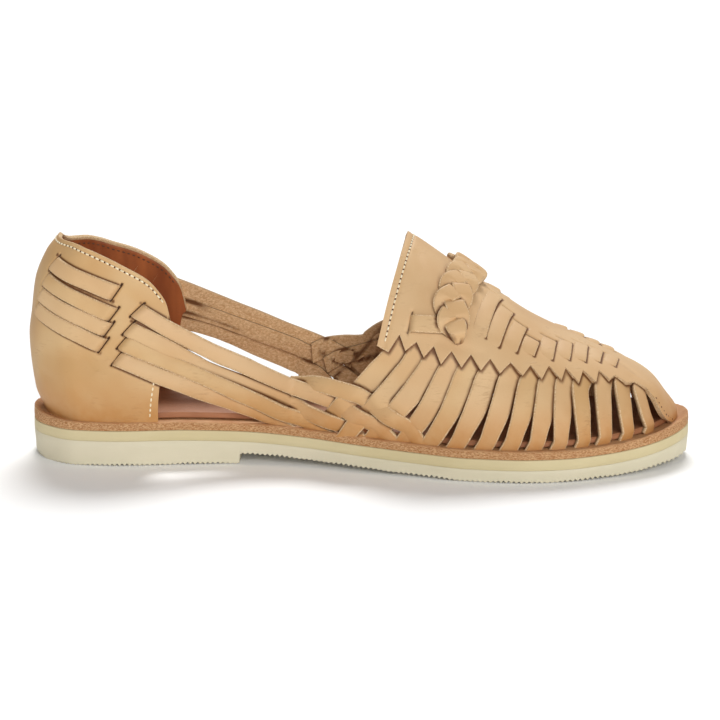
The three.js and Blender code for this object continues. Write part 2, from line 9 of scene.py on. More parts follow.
import bpy
import numpy as np
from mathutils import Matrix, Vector


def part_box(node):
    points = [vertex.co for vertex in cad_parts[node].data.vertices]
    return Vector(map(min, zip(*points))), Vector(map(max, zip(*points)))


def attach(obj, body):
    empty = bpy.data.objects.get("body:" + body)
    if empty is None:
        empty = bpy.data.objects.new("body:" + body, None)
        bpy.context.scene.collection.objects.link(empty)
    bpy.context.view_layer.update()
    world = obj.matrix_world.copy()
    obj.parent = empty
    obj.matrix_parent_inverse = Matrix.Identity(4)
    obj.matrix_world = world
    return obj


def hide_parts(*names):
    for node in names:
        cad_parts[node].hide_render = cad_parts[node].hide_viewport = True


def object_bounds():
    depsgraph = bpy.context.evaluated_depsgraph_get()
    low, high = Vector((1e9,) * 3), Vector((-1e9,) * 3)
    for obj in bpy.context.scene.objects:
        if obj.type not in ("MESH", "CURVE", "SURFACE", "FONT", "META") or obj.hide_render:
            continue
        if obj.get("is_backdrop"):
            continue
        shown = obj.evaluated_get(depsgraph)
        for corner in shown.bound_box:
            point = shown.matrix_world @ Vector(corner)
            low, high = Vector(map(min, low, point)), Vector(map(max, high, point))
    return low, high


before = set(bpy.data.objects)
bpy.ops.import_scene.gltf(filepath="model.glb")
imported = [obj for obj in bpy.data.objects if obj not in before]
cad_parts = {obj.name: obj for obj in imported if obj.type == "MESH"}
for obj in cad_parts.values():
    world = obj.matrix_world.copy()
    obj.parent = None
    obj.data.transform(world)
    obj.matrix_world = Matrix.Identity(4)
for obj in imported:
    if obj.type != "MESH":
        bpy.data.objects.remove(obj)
cad_low, cad_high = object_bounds()

# Outsole: the walking layer, of pale crepe-like rubber with fine ribs across it.
# It is cut round the last with its heel block in one piece and glued to the rubber
# above it, so that only its ground edge and its ribs show.
MM = 0.001
LENGTH = 255.0
BALL_WIDTH = 90.0
RUBBER = 8.8
UPPER_RUBBER = 4.0
HEEL_LIFT = 3.8
HEEL_WEDGE = 1.0
HEEL_BREAST = 82.5
ARCH_END = 168.0
SPRING_START = 195.0
TOE_SPRING = 2.4
TOP_SPRING = 4.4
HEEL_BEVEL = 2.5
RIB_PITCH = 1.9
RIB_DEPTH = 1.1
OUTSOLE_STATIONS = 2200

# Half-widths as shares of the ball width, on the outer and on the inner side of the foot
OUTLINE = [
    (0.0, 0.0, 0.0), (0.03, 0.217, 0.217), (0.08, 0.311, 0.311), (0.14, 0.326, 0.322),
    (0.24, 0.291, 0.3), (0.34, 0.267, 0.267), (0.42, 0.307, 0.25), (0.5, 0.387, 0.278),
    (0.58, 0.458, 0.339), (0.66, 0.52, 0.406), (0.74, 0.544, 0.45), (0.8, 0.52, 0.456),
    (0.86, 0.456, 0.433), (0.92, 0.36, 0.367), (0.965, 0.239, 0.256), (0.99, 0.122, 0.133),
    (1.0, 0.0, 0.0),
]


def angle_of(along):
    """The turn round the foot at a share of its length: 0 at the heel's back, pi at the toe."""
    return np.arccos(1 - 2 * np.clip(along, 0, 1))


def along_of(turn):
    return (1 - np.cos(turn)) / 2


def curve_through(points, measure=lambda value: value):
    """A smooth curve through (input, output) points, level wherever they turn back."""
    xs = measure(np.array([point[0] for point in points], float))
    ys = np.array([point[1] for point in points], float)
    steps = np.diff(ys) / np.diff(xs)
    before, after = steps[:-1], steps[1:]
    back = before * after <= 0
    middle = np.where(back, 0.0, 2 * before * after / np.where(back, 1.0, before + after))
    slope = np.concatenate([steps[:1], middle, steps[-1:]])

    def at(value):
        x = np.clip(measure(np.asarray(value, float)), xs[0], xs[-1])
        i = np.clip(np.searchsorted(xs, x, side="right") - 1, 0, len(xs) - 2)
        width = xs[i + 1] - xs[i]
        t = (x - xs[i]) / width
        return (
            ys[i] * (2 * t**3 - 3 * t**2 + 1)
            + ys[i + 1] * (3 * t**2 - 2 * t**3)
            + width * (slope[i] * (t**3 - 2 * t**2 + t) + slope[i + 1] * (t**3 - t**2))
        )

    return at


outer_share = curve_through([(a, outer) for a, outer, _ in OUTLINE], angle_of)
inner_share = curve_through([(a, inner) for a, _, inner in OUTLINE], angle_of)

# The CAD model is centred on its whole box, so the sole's box says where its heel starts
sole_low, sole_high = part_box("outsole")
widest = np.linspace(0, 1, 2001)
SHIFT = np.array([
    (sole_low.x + sole_high.x) / 2 / MM - LENGTH / 2,
    (sole_low.y + sole_high.y) / 2 / MM
    - BALL_WIDTH * (inner_share(widest).max() - outer_share(widest).max()) / 2,
    0.0,
])


def clamp(value, low=0.0, high=1.0):
    return np.clip(value, low, high)


def ease(t):
    t = clamp(t)
    return t * t * (3 - 2 * t)


def blend(a, b, t):
    return a + (b - a) * t


def half_width(turn):
    along = along_of(turn)
    return BALL_WIDTH * np.where(turn < 0, outer_share(along), inner_share(along))


def sole_bottom(x):
    heel = HEEL_BEVEL * clamp((8 - x) / 8) ** 2
    arch = HEEL_LIFT * clamp((ARCH_END - x) / (ARCH_END - HEEL_BREAST))
    spring = TOE_SPRING * clamp((x - SPRING_START) / (LENGTH - SPRING_START)) ** 2
    return np.where(x <= HEEL_BREAST, heel, arch + spring)


def rubber_top(x):
    rise = clamp((ARCH_END - x) / (ARCH_END - 60))
    heel = (HEEL_LIFT + HEEL_WEDGE) * blend(rise, ease(rise), 0.35)
    toe = TOP_SPRING * clamp((x - SPRING_START) / (LENGTH - SPRING_START)) ** 2.6
    return RUBBER + heel + toe


def rubber_seam(x):
    return rubber_top(x) - UPPER_RUBBER


def ribbed_bottom(x):
    """The tread's saw-toothed ribs, cut up into the sole."""
    tooth = np.abs(((x / RIB_PITCH) % 1.0) * 2 - 1)
    worn = 0.7 + 0.2 * np.sin(x / 4.7) + 0.1 * np.sin(x / 1.9)
    return sole_bottom(x) + RIB_DEPTH * tooth * worn * clamp((x - 6) / 20)


def between(low, high, share):
    """The height along x at a share of the way from one height up to another."""
    return lambda x: blend(low(x), high(x), share)


def slab(rows, stations, across=10):
    """A closed layer of the sole, from rows of (inset, height along x, added) between its rims.
    What is added to the height is in millimetres, or a function of the turn round the foot."""
    turn = (np.arange(stations) / stations * 2 - 1) * math.pi
    x = LENGTH * along_of(turn)
    y = np.where(turn < 0, -1.0, 1.0) * half_width(turn)
    dx, dy = np.roll(x, -1) - np.roll(x, 1), np.roll(y, -1) - np.roll(y, 1)
    size = np.hypot(dx, dy)
    out_x, out_y = -dy / size, dx / size
    loops = []
    for inset, height, added in rows:
        row_x = x - out_x * inset
        row_z = height(row_x) + (added(turn) if callable(added) else added)
        loops.append(np.stack([row_x, y - out_y * inset, row_z], -1))
    points = [np.concatenate(loops)]
    faces = []
    for row in range(len(rows) - 1):
        for i in range(stations):
            a, b = row * stations + i, row * stations + (i + 1) % stations
            faces.append((a, a + stations, b + stations, b))
    half = stations // 2
    total = len(rows) * stations
    for row, down in ((0, True), (len(rows) - 1, False)):
        loop = loops[row]
        left = loop[1:half]
        right = loop[:half:-1]
        shares = np.arange(1, across) / across
        fill = left[:, None] + (right - left)[:, None] * shares[None, :, None]
        inside = total + np.arange((half - 1) * (across - 1)).reshape(half - 1, across - 1)
        total += inside.size
        points.append(fill.reshape(-1, 3))
        place = row * stations
        grid = [[place] * (across + 1)]
        for i in range(1, half):
            grid.append([place + i, *inside[i - 1].tolist(), place + stations - i])
        grid.append([place + half] * (across + 1))
        for i in range(half):
            for k in range(across):
                corners = [grid[i][k], grid[i + 1][k], grid[i + 1][k + 1], grid[i][k + 1]]
                corners = list(dict.fromkeys(corners))
                if len(corners) > 2:
                    faces.append(corners if down else corners[::-1])
    return np.concatenate(points) + SHIFT, faces


class Wire:
    """A socket in a material. Sums and products of wires add Math nodes."""

    def __init__(self, tree, socket=None):
        self.tree = tree
        self.socket = socket

    def node(self, kind, settings, inputs, output=None):
        """Any other node: its settings are set first, then its sockets' values or wires."""
        made = self.tree.nodes.new("ShaderNode" + kind)
        for name, value in settings.items():
            if name == "stops":
                ramp = made.color_ramp.elements
                while len(ramp) < len(value):
                    ramp.new(0.5)
                for stop, (position, tone) in zip(ramp, value):
                    stop.position = position
                    stop.color = tone
            else:
                setattr(made, name, value)
        for name, value in inputs.items():
            if isinstance(name, int):
                socket = made.inputs[name]
            else:
                socket = next(s for s in made.inputs if s.enabled and s.name == name)
            if isinstance(value, Wire):
                self.tree.links.new(value.socket, socket)
            else:
                socket.default_value = value
        outputs = [s for s in made.outputs if s.enabled and output in (None, s.name)]
        return Wire(self.tree, outputs[0] if outputs else None)

    def math(self, operation, *values):
        return self.node("Math", {"operation": operation}, dict(enumerate(values)))

    def __add__(self, other):
        return self.math("ADD", self, other)

    def __sub__(self, other):
        return self.math("SUBTRACT", self, other)

    def __rsub__(self, other):
        return self.math("SUBTRACT", other, self)

    def __mul__(self, other):
        return self.math("MULTIPLY", self, other)

    __radd__ = __add__
    __rmul__ = __mul__

    def ramp(self, low, high):
        """0 below low and 1 above high, eased between them."""
        settings = {"interpolation_type": "SMOOTHSTEP"}
        return self.node("MapRange", settings, {"Value": self, "From Min": low, "From Max": high})

    def choose(self, low, high):
        """The colour low where this wire is 0 and high where it is 1, each a wire or "#rrggbb"."""
        low, high = (colour(tone) if isinstance(tone, str) else tone for tone in (low, high))
        settings = {"data_type": "RGBA"}
        return self.node("Mix", settings, {"Factor": self, "A": low, "B": high}, "Result")


def colour(text):
    """A colour written as it looks on a screen, in the linear values that nodes take."""
    parts = [int(text[i : i + 2], 16) / 255 for i in (1, 3, 5)]
    return (*[c / 12.92 if c <= 0.04045 else ((c + 0.055) / 1.055) ** 2.4 for c in parts], 1.0)


def new_finish(name):
    """A new material's first wire, its places in millimetres, and a way to add noise to it."""
    material = bpy.data.materials.new(name)
    material.use_nodes = True
    material.node_tree.nodes.clear()
    wire = Wire(material.node_tree)
    metres = wire.node("TexCoord", {}, {}, "Object")
    places = wire.node("VectorMath", {"operation": "SCALE"}, {0: metres, "Scale": 1 / MM})

    def noise(size, stretch=(1, 1, 1), detail=3.0, roughness=0.55):
        """Noise with patches of about this size in millimetres, longer where stretched."""
        scaled = wire.node("VectorMath", {"operation": "DIVIDE"}, {0: places, 1: stretch})
        inputs = {"Vector": scaled, "Scale": 1 / size, "Detail": detail, "Roughness": roughness}
        return wire.node("TexNoise", {}, inputs)

    def close(shader, height=None, depth=0.2):
        """Ends the material in a Principled shader, with height in millimetres as its bump."""
        if height is not None:
            bump = {"Strength": 1.0, "Distance": depth * MM, "Height": height}
            shader["Normal"] = wire.node("Bump", {}, bump)
        surface = wire.node("BsdfPrincipled", {}, shader)
        wire.node("OutputMaterial", {}, {"Surface": surface})
        return material

    return wire, noise, close


CREASE_ANGLE = math.radians(35)


def make_piece(name, points, faces, material, marks=None):
    """A mesh object from millimetres, riding on the shoe and taking the given material."""
    mesh = bpy.data.meshes.new(name)
    mesh.from_pydata((points * MM).tolist(), [], faces)
    for mark, values in (marks or {}).items():
        layer = mesh.attributes.new(mark, "FLOAT", "POINT")
        layer.data.foreach_set("value", np.asarray(values, np.float32).ravel())
    mesh.polygons.foreach_set("use_smooth", [True] * len(mesh.polygons))
    mesh.set_sharp_from_angle(angle=CREASE_ANGLE)
    mesh.materials.append(material)
    piece = bpy.data.objects.new(name, mesh)
    bpy.context.scene.collection.objects.link(piece)
    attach(piece, "root")
    return piece


def rubber_finish(name, clean, worn):
    wire, noise, close = new_finish(name)
    cloud = noise(14, (3, 1, 1)).ramp(0.35, 0.7)
    speck = noise(0.5, detail=2).ramp(0.62, 0.75)
    base = (cloud * 0.5 + speck * 0.25).choose(clean, worn)
    return close(
        {"Base Color": base, "Roughness": noise(3) * 0.2 + 0.55, "Specular IOR Level": 0.3},
        noise(0.9, (2, 2, 0.6), 4) * 0.6 + noise(6) * 0.4,
        0.12,
    )


points, faces = slab(
    [
        (1.6, ribbed_bottom, 0),
        (0.5, ribbed_bottom, 0),
        (0.4, ribbed_bottom, 0.15),
        (0.38, sole_bottom, RIB_DEPTH + 0.35),
        (0.35, between(sole_bottom, rubber_seam, 0.35), 0),
        (0.1, between(sole_bottom, rubber_seam, 0.7), 0),
        (0.05, rubber_seam, -0.2),
        (0.15, rubber_seam, -0.03),
    ],
    OUTSOLE_STATIONS,
)
pale_rubber = rubber_finish("pale_rubber", "#d4cbb2", "#cac2a6")
outsole = make_piece("ribbed_outsole", points, faces, pale_rubber)
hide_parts("outsole")

# Rubber midsole: a thin layer of yellower rubber between the tread and the leather.
# It is glued to both and ground flush with them, which leaves a smooth matt edge.
SOLE_STATIONS = 700

points, faces = slab(
    [
        (0.15, rubber_seam, 0.03),
        (0.0, rubber_seam, 0.25),
        (0.0, between(rubber_seam, rubber_top, 0.5), 0),
        (0.05, rubber_top, -0.2),
        (0.3, rubber_top, 0.02),
    ],
    SOLE_STATIONS,
)
yellow_rubber = rubber_finish("yellow_rubber", "#cdbf98", "#c2b287")
rubber_midsole = make_piece("yellow_rubber_layer", points, faces, yellow_rubber)
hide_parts("rubber_midsole")

# Leather midsole: one cut of thick vegetable-tanned leather that the upper is turned
# under and glued to. Its raw edge shows the fibres, and its rim stands up a little
# round the heel and the toe.
GAP = 0.3
LEATHER_MIDSOLE = 2.9
HEEL_CUP = 0.9
RIM_CUP = 1.1


def midsole_top(x):
    return rubber_top(x) + GAP + LEATHER_MIDSOLE + HEEL_CUP * clamp((18 - x) / 18) ** 2


def cup(turn):
    """How strongly the rim stands up, at the back of the heel and round the toe."""
    heel = ease(1 - np.abs(turn) / 0.75)
    toe = ease(1 - (math.pi - np.abs(turn)) / 0.8)
    return RIM_CUP * (heel + toe)


def fray(turn, size, seed):
    """Small unevenness of a raw edge, in millimetres, closing on itself round the foot."""
    random = np.random.default_rng(seed)
    total = 0.0
    for waves in (37, 61, 97, 143, 211):
        total = total + np.sin(waves * turn + random.uniform(0, 2 * math.pi)) * random.uniform(0.5, 1)
    return size * total / 3


points, faces = slab(
    [
        (0.5, rubber_top, 0.03),
        (0.15, rubber_top, 0.2),
        (0.05, between(rubber_top, midsole_top, 0.5), lambda turn: fray(turn, 0.1, 1)),
        (0.2, midsole_top, lambda turn: cup(turn) * 0.9 + fray(turn, 0.15, 2) - 0.35),
        (0.6, midsole_top, lambda turn: cup(turn) + fray(turn, 0.15, 2)),
        (1.2, midsole_top, lambda turn: cup(turn) * 0.8 + 0.05),
        (2.6, midsole_top, lambda turn: cup(turn) * 0.1 - 0.1),
        (5.0, midsole_top, -0.1),
    ],
    SOLE_STATIONS,
)

wire, noise, close = new_finish("raw_edged_leather")
height = wire.node("SeparateXYZ", {}, {0: wire.node("NewGeometry", {}, {}, "Normal")}, "Z")
fibre = noise(0.55, (1.6, 1.6, 0.6), 5, 0.7)
edge_tone = fibre.ramp(0.36, 0.66).choose("#a36a3e", "#d9b082")
face_tone = noise(9).ramp(0.3, 0.7).choose("#c08a5c", "#cf9f72")
face = height.ramp(0.55, 0.9)
tone = face.choose(edge_tone, face_tone)
raw_leather = close(
    {"Base Color": tone, "Roughness": 0.85 - face * 0.2, "Specular IOR Level": 0.25},
    fibre + noise(0.25) * 0.5,
    0.45,
)
leather_midsole = make_piece("raw_edged_midsole", points, faces, raw_leather)
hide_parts("leather_midsole")

# Insole: the footbed, cut from smooth brown leather and glued on the midsole inside the
# upper. Its edge is seen through the gaps between the straps.
INSOLE = 2.2
INSOLE_INSET = 5.7
INSOLE_STATIONS = 400

points, faces = slab(
    [
        (INSOLE_INSET + 0.3, midsole_top, GAP),
        (INSOLE_INSET, midsole_top, GAP + 0.4),
        (INSOLE_INSET, midsole_top, GAP + INSOLE - 0.5),
        (INSOLE_INSET + 0.5, midsole_top, GAP + INSOLE),
    ],
    INSOLE_STATIONS,
    16,
)
wire, noise, close = new_finish("footbed_leather")
tone = noise(16, (2, 1, 1)).ramp(0.3, 0.7).choose("#8f5c3c", "#a8724f")
smooth_leather = close(
    {"Base Color": tone, "Roughness": noise(2) * 0.3 + 0.4, "Specular IOR Level": 0.35},
    noise(0.7, detail=5) + noise(5) * 0.5,
    0.15,
)
insole = make_piece("footbed", points, faces, smooth_leather)
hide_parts("insole")

# Heel counter: two layers of leather, the lining glued in, cut to the collar line,
# stitched along it and along both front edges. Pairs of slits let the straps through.
SIDE_MARGIN = 2.0
END_MARGIN = 4.5
INSTEP_HEIGHT = 76.0
CROWN_FLAT = 3.4
INNER_COLLAR_DROP = 0.02
COUNTER_HEIGHT = 68.0
COUNTER_WALL = 2.6
SLIT_DEPTH = 1.1
SLIT_WIDTH = 0.5
SEAM_INSET = 1.9
SEAM_TROUGH = 0.25
TROUGH_WIDTH = 0.9
TROUGH_UNTIL = 0.205
LAST_LENGTH = LENGTH - 2 * END_MARGIN
LAST_NARROW = 1 - SIDE_MARGIN / (BALL_WIDTH / 2)

# Sections of the upper's outside: along, ridge as a share of the instep height, roundness, lean
LAST = [
    (0.0, 1.435, 2.3, 0.0), (0.15, 1.388, 2.3, 0.0), (0.3, 1.27, 2.25, 0.0),
    (0.45, 1.135, 2.1, 0.02), (0.57, 1.005, 1.9, 0.035), (0.645, 0.857, 1.95, 0.035),
    (0.7, 0.741, 2.0, 0.035), (0.77, 0.589, 2.05, 0.033), (0.855, 0.448, 2.1, 0.03),
    (0.917, 0.338, 2.15, 0.02), (0.96, 0.231, 2.2, 0.01), (0.986, 0.105, 2.2, 0.0),
    (1.0, 0.0, 2.2, 0.0),
]
BACK_CURVE = [
    (0.0, 0.0), (0.13, -0.053), (0.42, -0.081), (0.57, -0.062), (0.74, -0.038),
    (0.9, 0.028), (1.0, 0.105), (1.3, 0.3),
]
# How far the crown is flatter than those sections' curve, as shares of CROWN_FLAT
FLATNESS = [
    (0.0, 0.0), (0.38, 0.0), (0.5, 0.75), (0.6, 1.0), (0.75, 1.1), (0.9, 0.8), (0.96, 0.55), (1.0, 0.0),
]
COLLAR = [
    (0.0, 0.394), (0.04, 0.396), (0.07, 0.387), (0.11, 0.366), (0.15, 0.337),
    (0.18, 0.311), (0.197, 0.283), (0.208, 0.255), (0.216, 0.2),
]
COUNTER_FRONT_LOW = 0.19
COUNTER_FRONT_HIGH = 0.216

ridge_share = curve_through([(row[0], row[1]) for row in LAST], angle_of)
roundness = curve_through([(row[0], row[2]) for row in LAST], angle_of)
lean_share = curve_through([(row[0], row[3]) for row in LAST], angle_of)
back_share = curve_through(BACK_CURVE)
flatness = curve_through(FLATNESS)
collar_curve = curve_through(COLLAR)


def collar_at(turn):
    """The collar line, a little lower on the inner side of the foot."""
    drop = ease(turn / 0.3) * blend(1, 0.5, ease((turn - 0.6) / 0.2))
    return collar_curve(along_of(turn)) - INNER_COLLAR_DROP * drop


def last_point(turn, around):
    """The upper's outside: around is 0 at the sole, 1 on the ridge, more down the other side."""
    turn, around = np.broadcast_arrays(np.asarray(turn, float), np.asarray(around, float))
    turn, around = np.where(around > 1, -turn, turn), np.where(around > 1, 2 - around, around)
    along = along_of(turn)
    x = END_MARGIN + LAST_LENGTH * along
    half = half_width(turn) * LAST_NARROW
    power = 2 / roundness(along)
    angle = np.maximum(around, 0) * math.pi / 2
    rise, narrowing = np.sin(angle), np.maximum(np.cos(angle), 0)
    height = INSTEP_HEIGHT * (ridge_share(along) * rise**power + np.minimum(around, 0))
    height = height - CROWN_FLAT * flatness(along) * ease((around - 0.42) / 0.58)
    belly = 0.02 * BALL_WIDTH * np.where(along < 0.4, 1, 0.6) * np.sin(clamp(height / 24) * math.pi)
    width = half * narrowing**power + belly * clamp(half / 25)
    lean = BALL_WIDTH * lean_share(along) * rise**2
    backward = COUNTER_HEIGHT * back_share(height / COUNTER_HEIGHT) * clamp(1 - along / 0.28) ** 2
    side = np.where(turn < 0, -1.0, 1.0)
    return np.stack([x + backward, side * width + lean, midsole_top(x) + GAP + height], -1) + SHIFT


def unit(vectors):
    return vectors / np.maximum(np.linalg.norm(vectors, axis=-1, keepdims=True), 1e-9)


def last_frame(turn, around, step=0.004):
    """The two ways along the surface, per unit of around and of turn, and its outward normal."""
    up = (last_point(turn, around + step) - last_point(turn, around - step)) / (2 * step)
    forth = (last_point(turn + step, around) - last_point(turn - step, around)) / (2 * step)
    return up, forth, unit(np.cross(up, forth))


def normal_at(turn, around):
    return last_frame(turn, clamp(around, 0.01, 1.99))[2]


def reach_of(turn, around):
    """Millimetres along the surface per unit of around and per unit of turn."""
    up, forth, _ = last_frame(turn, around)
    return np.linalg.norm(up, axis=-1), np.linalg.norm(forth, axis=-1)


def skin(turn, around, lift):
    """Places lifted off the surface of the last, in millimetres."""
    return last_point(turn, around) + normal_at(turn, around) * np.asarray(lift, float)[..., None]


def beside(turn, around, offset, slant=0.0):
    """Places at an offset in millimetres to the side of a path, leaning along it by slant."""
    up, forth, normal = last_frame(turn, clamp(around, 0.02, 1.98))
    turn_step, around_step = np.gradient(turn), np.gradient(around)
    tangent = forth * turn_step[:, None] + up * around_step[:, None]
    reach = np.maximum(np.linalg.norm(tangent, axis=-1), 1e-9)
    across = unit(np.cross(normal, tangent))
    ff, uu, fu = (forth * forth).sum(-1), (up * up).sum(-1), (forth * up).sum(-1)
    af, au = (across * forth).sum(-1), (across * up).sum(-1)
    turn_rate = (af * uu - au * fu) / (ff * uu - fu**2) + slant * turn_step / reach
    around_rate = (au * ff - af * fu) / (ff * uu - fu**2) + slant * around_step / reach
    return (
        turn[:, None] + turn_rate[:, None] * offset,
        around[:, None] + around_rate[:, None] * offset,
    )


def dense_path(rows, spacing=1.0):
    """A smooth path through given rows of (turn, around, lift), evenly divided."""
    places = np.linspace(0, 1, len(rows))
    curves = [curve_through(list(zip(places, column))) for column in zip(*rows)]
    fine = np.linspace(0, 1, 400)
    track = last_point(curves[0](fine), curves[1](fine))
    run = np.concatenate([[0], np.cumsum(np.linalg.norm(np.diff(track, axis=0), axis=-1))])
    even = np.linspace(0, run[-1], max(int(run[-1] / spacing), 4))
    share = np.interp(even, run, fine)
    return [curve(share) for curve in curves] + [even]


def tube(points):
    """Faces of a closed skin over rings of points, its two ends closed by strips."""
    rings, size = points.shape[:2]
    index = np.arange(rings * size).reshape(rings, size)
    nearby = np.roll(index, -1, axis=1)
    quads = np.stack([index[:-1], nearby[:-1], nearby[1:], index[1:]], -1).reshape(-1, 4)
    k = np.arange(size // 2 - 1)
    first, last = index[0], index[-1]
    start = np.stack([first[k], first[size - 1 - k], first[size - 2 - k], first[k + 1]], -1)
    end = np.stack([last[k], last[k + 1], last[size - 2 - k], last[size - 1 - k]], -1)
    return np.concatenate([quads, start, end]).tolist()


def join(parts):
    """One set of points, faces and marks from several, filling in the marks a part lacks."""
    names = sorted({mark for part in parts for mark in part[2]})
    points, faces, start = [], [], 0
    marks = {mark: [] for mark in names}
    for part_points, part_faces, part_marks in parts:
        flat = part_points.reshape(-1, 3)
        points.append(flat)
        faces += [[corner + start for corner in face] for face in part_faces]
        for mark in names:
            marks[mark].append(np.broadcast_to(part_marks.get(mark, 0.0), part_points.shape[:-1]).ravel())
        start += len(flat)
    return np.concatenate(points), faces, {mark: np.concatenate(v) for mark, v in marks.items()}


def make_joined(name, parts, material):
    """One piece from several parts, each a set of points, faces and marks."""
    points, faces, marks = join(parts)
    return make_piece(name, points, faces, material, marks)


def rise_of(points):
    """How far each point stands above the midsole, in millimetres."""
    return points[..., 2] - midsole_top(points[..., 0] - SHIFT[0])


def near_lines(points, lines, width):
    """1 on the given lines, falling to 0 beyond their width on either side."""
    mark = np.zeros(points.shape[:-1])
    for a, b in lines:
        a, b = np.asarray(a), np.asarray(b)
        along = clamp(((points - a) @ (b - a)) / max((b - a) @ (b - a), 1e-9))
        gap = np.linalg.norm(points - (a + along[..., None] * (b - a)), axis=-1)
        mark = np.maximum(mark, np.exp(-((gap / width) ** 2)))
    return mark


def contact(points, edges, reach):
    """1 where a face runs in under the given edge points of other straps, 0 beyond reach: where contact
    shade is painted.
    """
    flat = points.reshape(-1, 3)
    low, high = edges.min(0) - reach, edges.max(0) + reach
    mark = np.zeros(len(flat))
    close_by = np.nonzero(((flat > low) & (flat < high)).all(-1))[0]
    for start in range(0, len(close_by), 400):
        chosen = close_by[start : start + 400]
        block = flat[chosen]
        nearby = edges[((edges > block.min(0) - reach) & (edges < block.max(0) + reach)).all(-1)]
        if len(nearby):
            gap = np.sqrt(((block[:, None] - nearby[None]) ** 2).sum(-1).min(1))
            mark[chosen] = clamp(1 - gap / reach)
    return mark.reshape(points.shape[:-1])


# Straps threaded through the counter: back end, front end, width
HEEL_STRAPS = [
    ((0.026, 0.334), (0.1335, 0.272), 6.4),
    ((0.022, 0.291), (0.1305, 0.2175), 5.9),
    ((0.018, 0.25), (0.1245, 0.1825), 5.9),
    ((0.014, 0.214), (0.117, 0.146), 6.0),
]
# Side straps from their slits in the counter to the waist, as (along, around, level in the weave)
OUTER_STRAPS = [
    (6.3, [(0.165, 0.231, 2), (0.214, 0.19, 2), (0.26, 0.159, 0.5), (0.33, 0.123, 0.5), (0.4, 0.096, 0.5),
           (0.445, 0.087, 0.6), (0.468, 0.077, 0), (0.5, 0.058, 1), (0.53, 0.034, 0), (0.56, -0.03, 0)]),
    (6.2, [(0.153, 0.187, 2), (0.207, 0.149, 2), (0.26, 0.112, 0), (0.33, 0.082, -0.3),
           (0.39, 0.057, -0.3), (0.42, 0.038, 0.4), (0.452, 0.028, 1), (0.485, 0.012, 0), (0.51, -0.03, 0)]),
    (6.2, [(0.145, 0.155, 2), (0.2, 0.12, 2), (0.26, 0.09, 0.6), (0.33, 0.053, 0.7), (0.38, 0.03, 1),
           (0.42, 0.014, 0.3), (0.46, -0.03, 0)]),
    (6.2, [(0.137, 0.12, 2), (0.193, 0.087, 2), (0.25, 0.059, 0.4), (0.31, 0.034, 0), (0.36, 0.012, 0),
           (0.4, -0.03, 0)]),
]
INNER_STRAPS = [
    (7.0, [(0.165, 0.25, 2), (0.214, 0.231, 2), (0.26, 0.214, 0.8), (0.33, 0.19, 1), (0.4, 0.166, 1),
           (0.445, 0.15, 0.6), (0.468, 0.137, 0), (0.5, 0.112, 1), (0.53, 0.08, 0), (0.575, -0.03, 0)]),
    (6.5, [(0.153, 0.196, 2), (0.207, 0.186, 2), (0.26, 0.176, 0.2), (0.33, 0.156, 0.1), (0.39, 0.141, 0),
           (0.42, 0.122, 0.6), (0.452, 0.09, 1), (0.485, 0.055, 0), (0.53, -0.03, 0)]),
    (7.4, [(0.145, 0.158, 2), (0.2, 0.152, 2), (0.26, 0.145, 0.6), (0.33, 0.112, 0.7), (0.38, 0.092, 1),
           (0.42, 0.07, 0.3), (0.475, -0.03, 0)]),
    (5.2, [(0.137, 0.125, 2), (0.193, 0.106, 2), (0.25, 0.083, 0.4), (0.31, 0.057, 0), (0.36, 0.03, 0),
           (0.41, -0.03, 0)]),
]
SLIT_SLANT = 0.3
SLIT_SPUR = 0.9
EDGE_LIFT = 0.2
CONTACT_REACH = 1.3


def end_line(turn, around, width, at, slant, spur=SLIT_SPUR):
    """The slit that a strap's end goes into, as a line on the leather."""
    offset = np.array([[-width / 2 - spur / 3, width / 2 + spur]])
    side_turn, side_around = beside(turn, around, offset, slant)
    return skin(side_turn[at], side_around[at], np.full(2, 0.0))


def edge_points(turn, around, offsets, lift):
    """Points along a path at these offsets to its side, in millimetres."""
    side_turn, side_around = beside(turn, around, np.array([offsets]))
    return skin(side_turn, side_around, np.full(side_turn.shape, lift)).reshape(-1, 3)


heel_paths, strap_edges, slits = [], [], []
for side in (-1, 1):
    for back, front, width in HEEL_STRAPS:
        middle = (blend(back[0], front[0], 0.45), blend(back[1], front[1], 0.47))
        rows = [(side * angle_of(a), around, 0.0) for a, around in (back, middle, front)]
        turn, around, _, run = dense_path(rows, 0.7)
        heel_paths.append((turn, around, run, width, side))
        strap_edges.append(edge_points(turn, around, [-width / 2, width / 2], EDGE_LIFT))
        slits += [end_line(turn, around, width, end, side * -SLIT_SLANT) for end in (0, -1)]
    for width, path in OUTER_STRAPS if side < 0 else INNER_STRAPS:
        rows = [(side * angle_of(a), around, level) for a, around, level in path]
        turn, around, _, run = dense_path(rows, 0.7)
        slits.append(end_line(turn, around, width, 0, side * -SLIT_SLANT))
        strap_edges.append(edge_points(turn[:60], around[:60], [-width / 2, width / 2], EDGE_LIFT))

# Soft folds in the leather between the straps and the sole, each from end to end
COUNTER_FOLDS = [
    ((0.07, 0.145), (0.1, 0.1)), ((0.1, 0.155), (0.128, 0.115)), ((0.025, 0.075), (0.09, 0.05)),
    ((0.15, 0.27), (0.175, 0.235)),
]
FOLD_DEPTH = 0.35
FOLD_WIDTH = 2.2


def fold_lines(folds):
    """Lines on the last for folds given by their ends' (along, around), on both sides."""
    ends = [[(side * angle_of(a), up) for a, up in fold] for fold in folds for side in (-1, 1)]
    return [[skin(turn, up, 0.0) for turn, up in fold] for fold in ends]


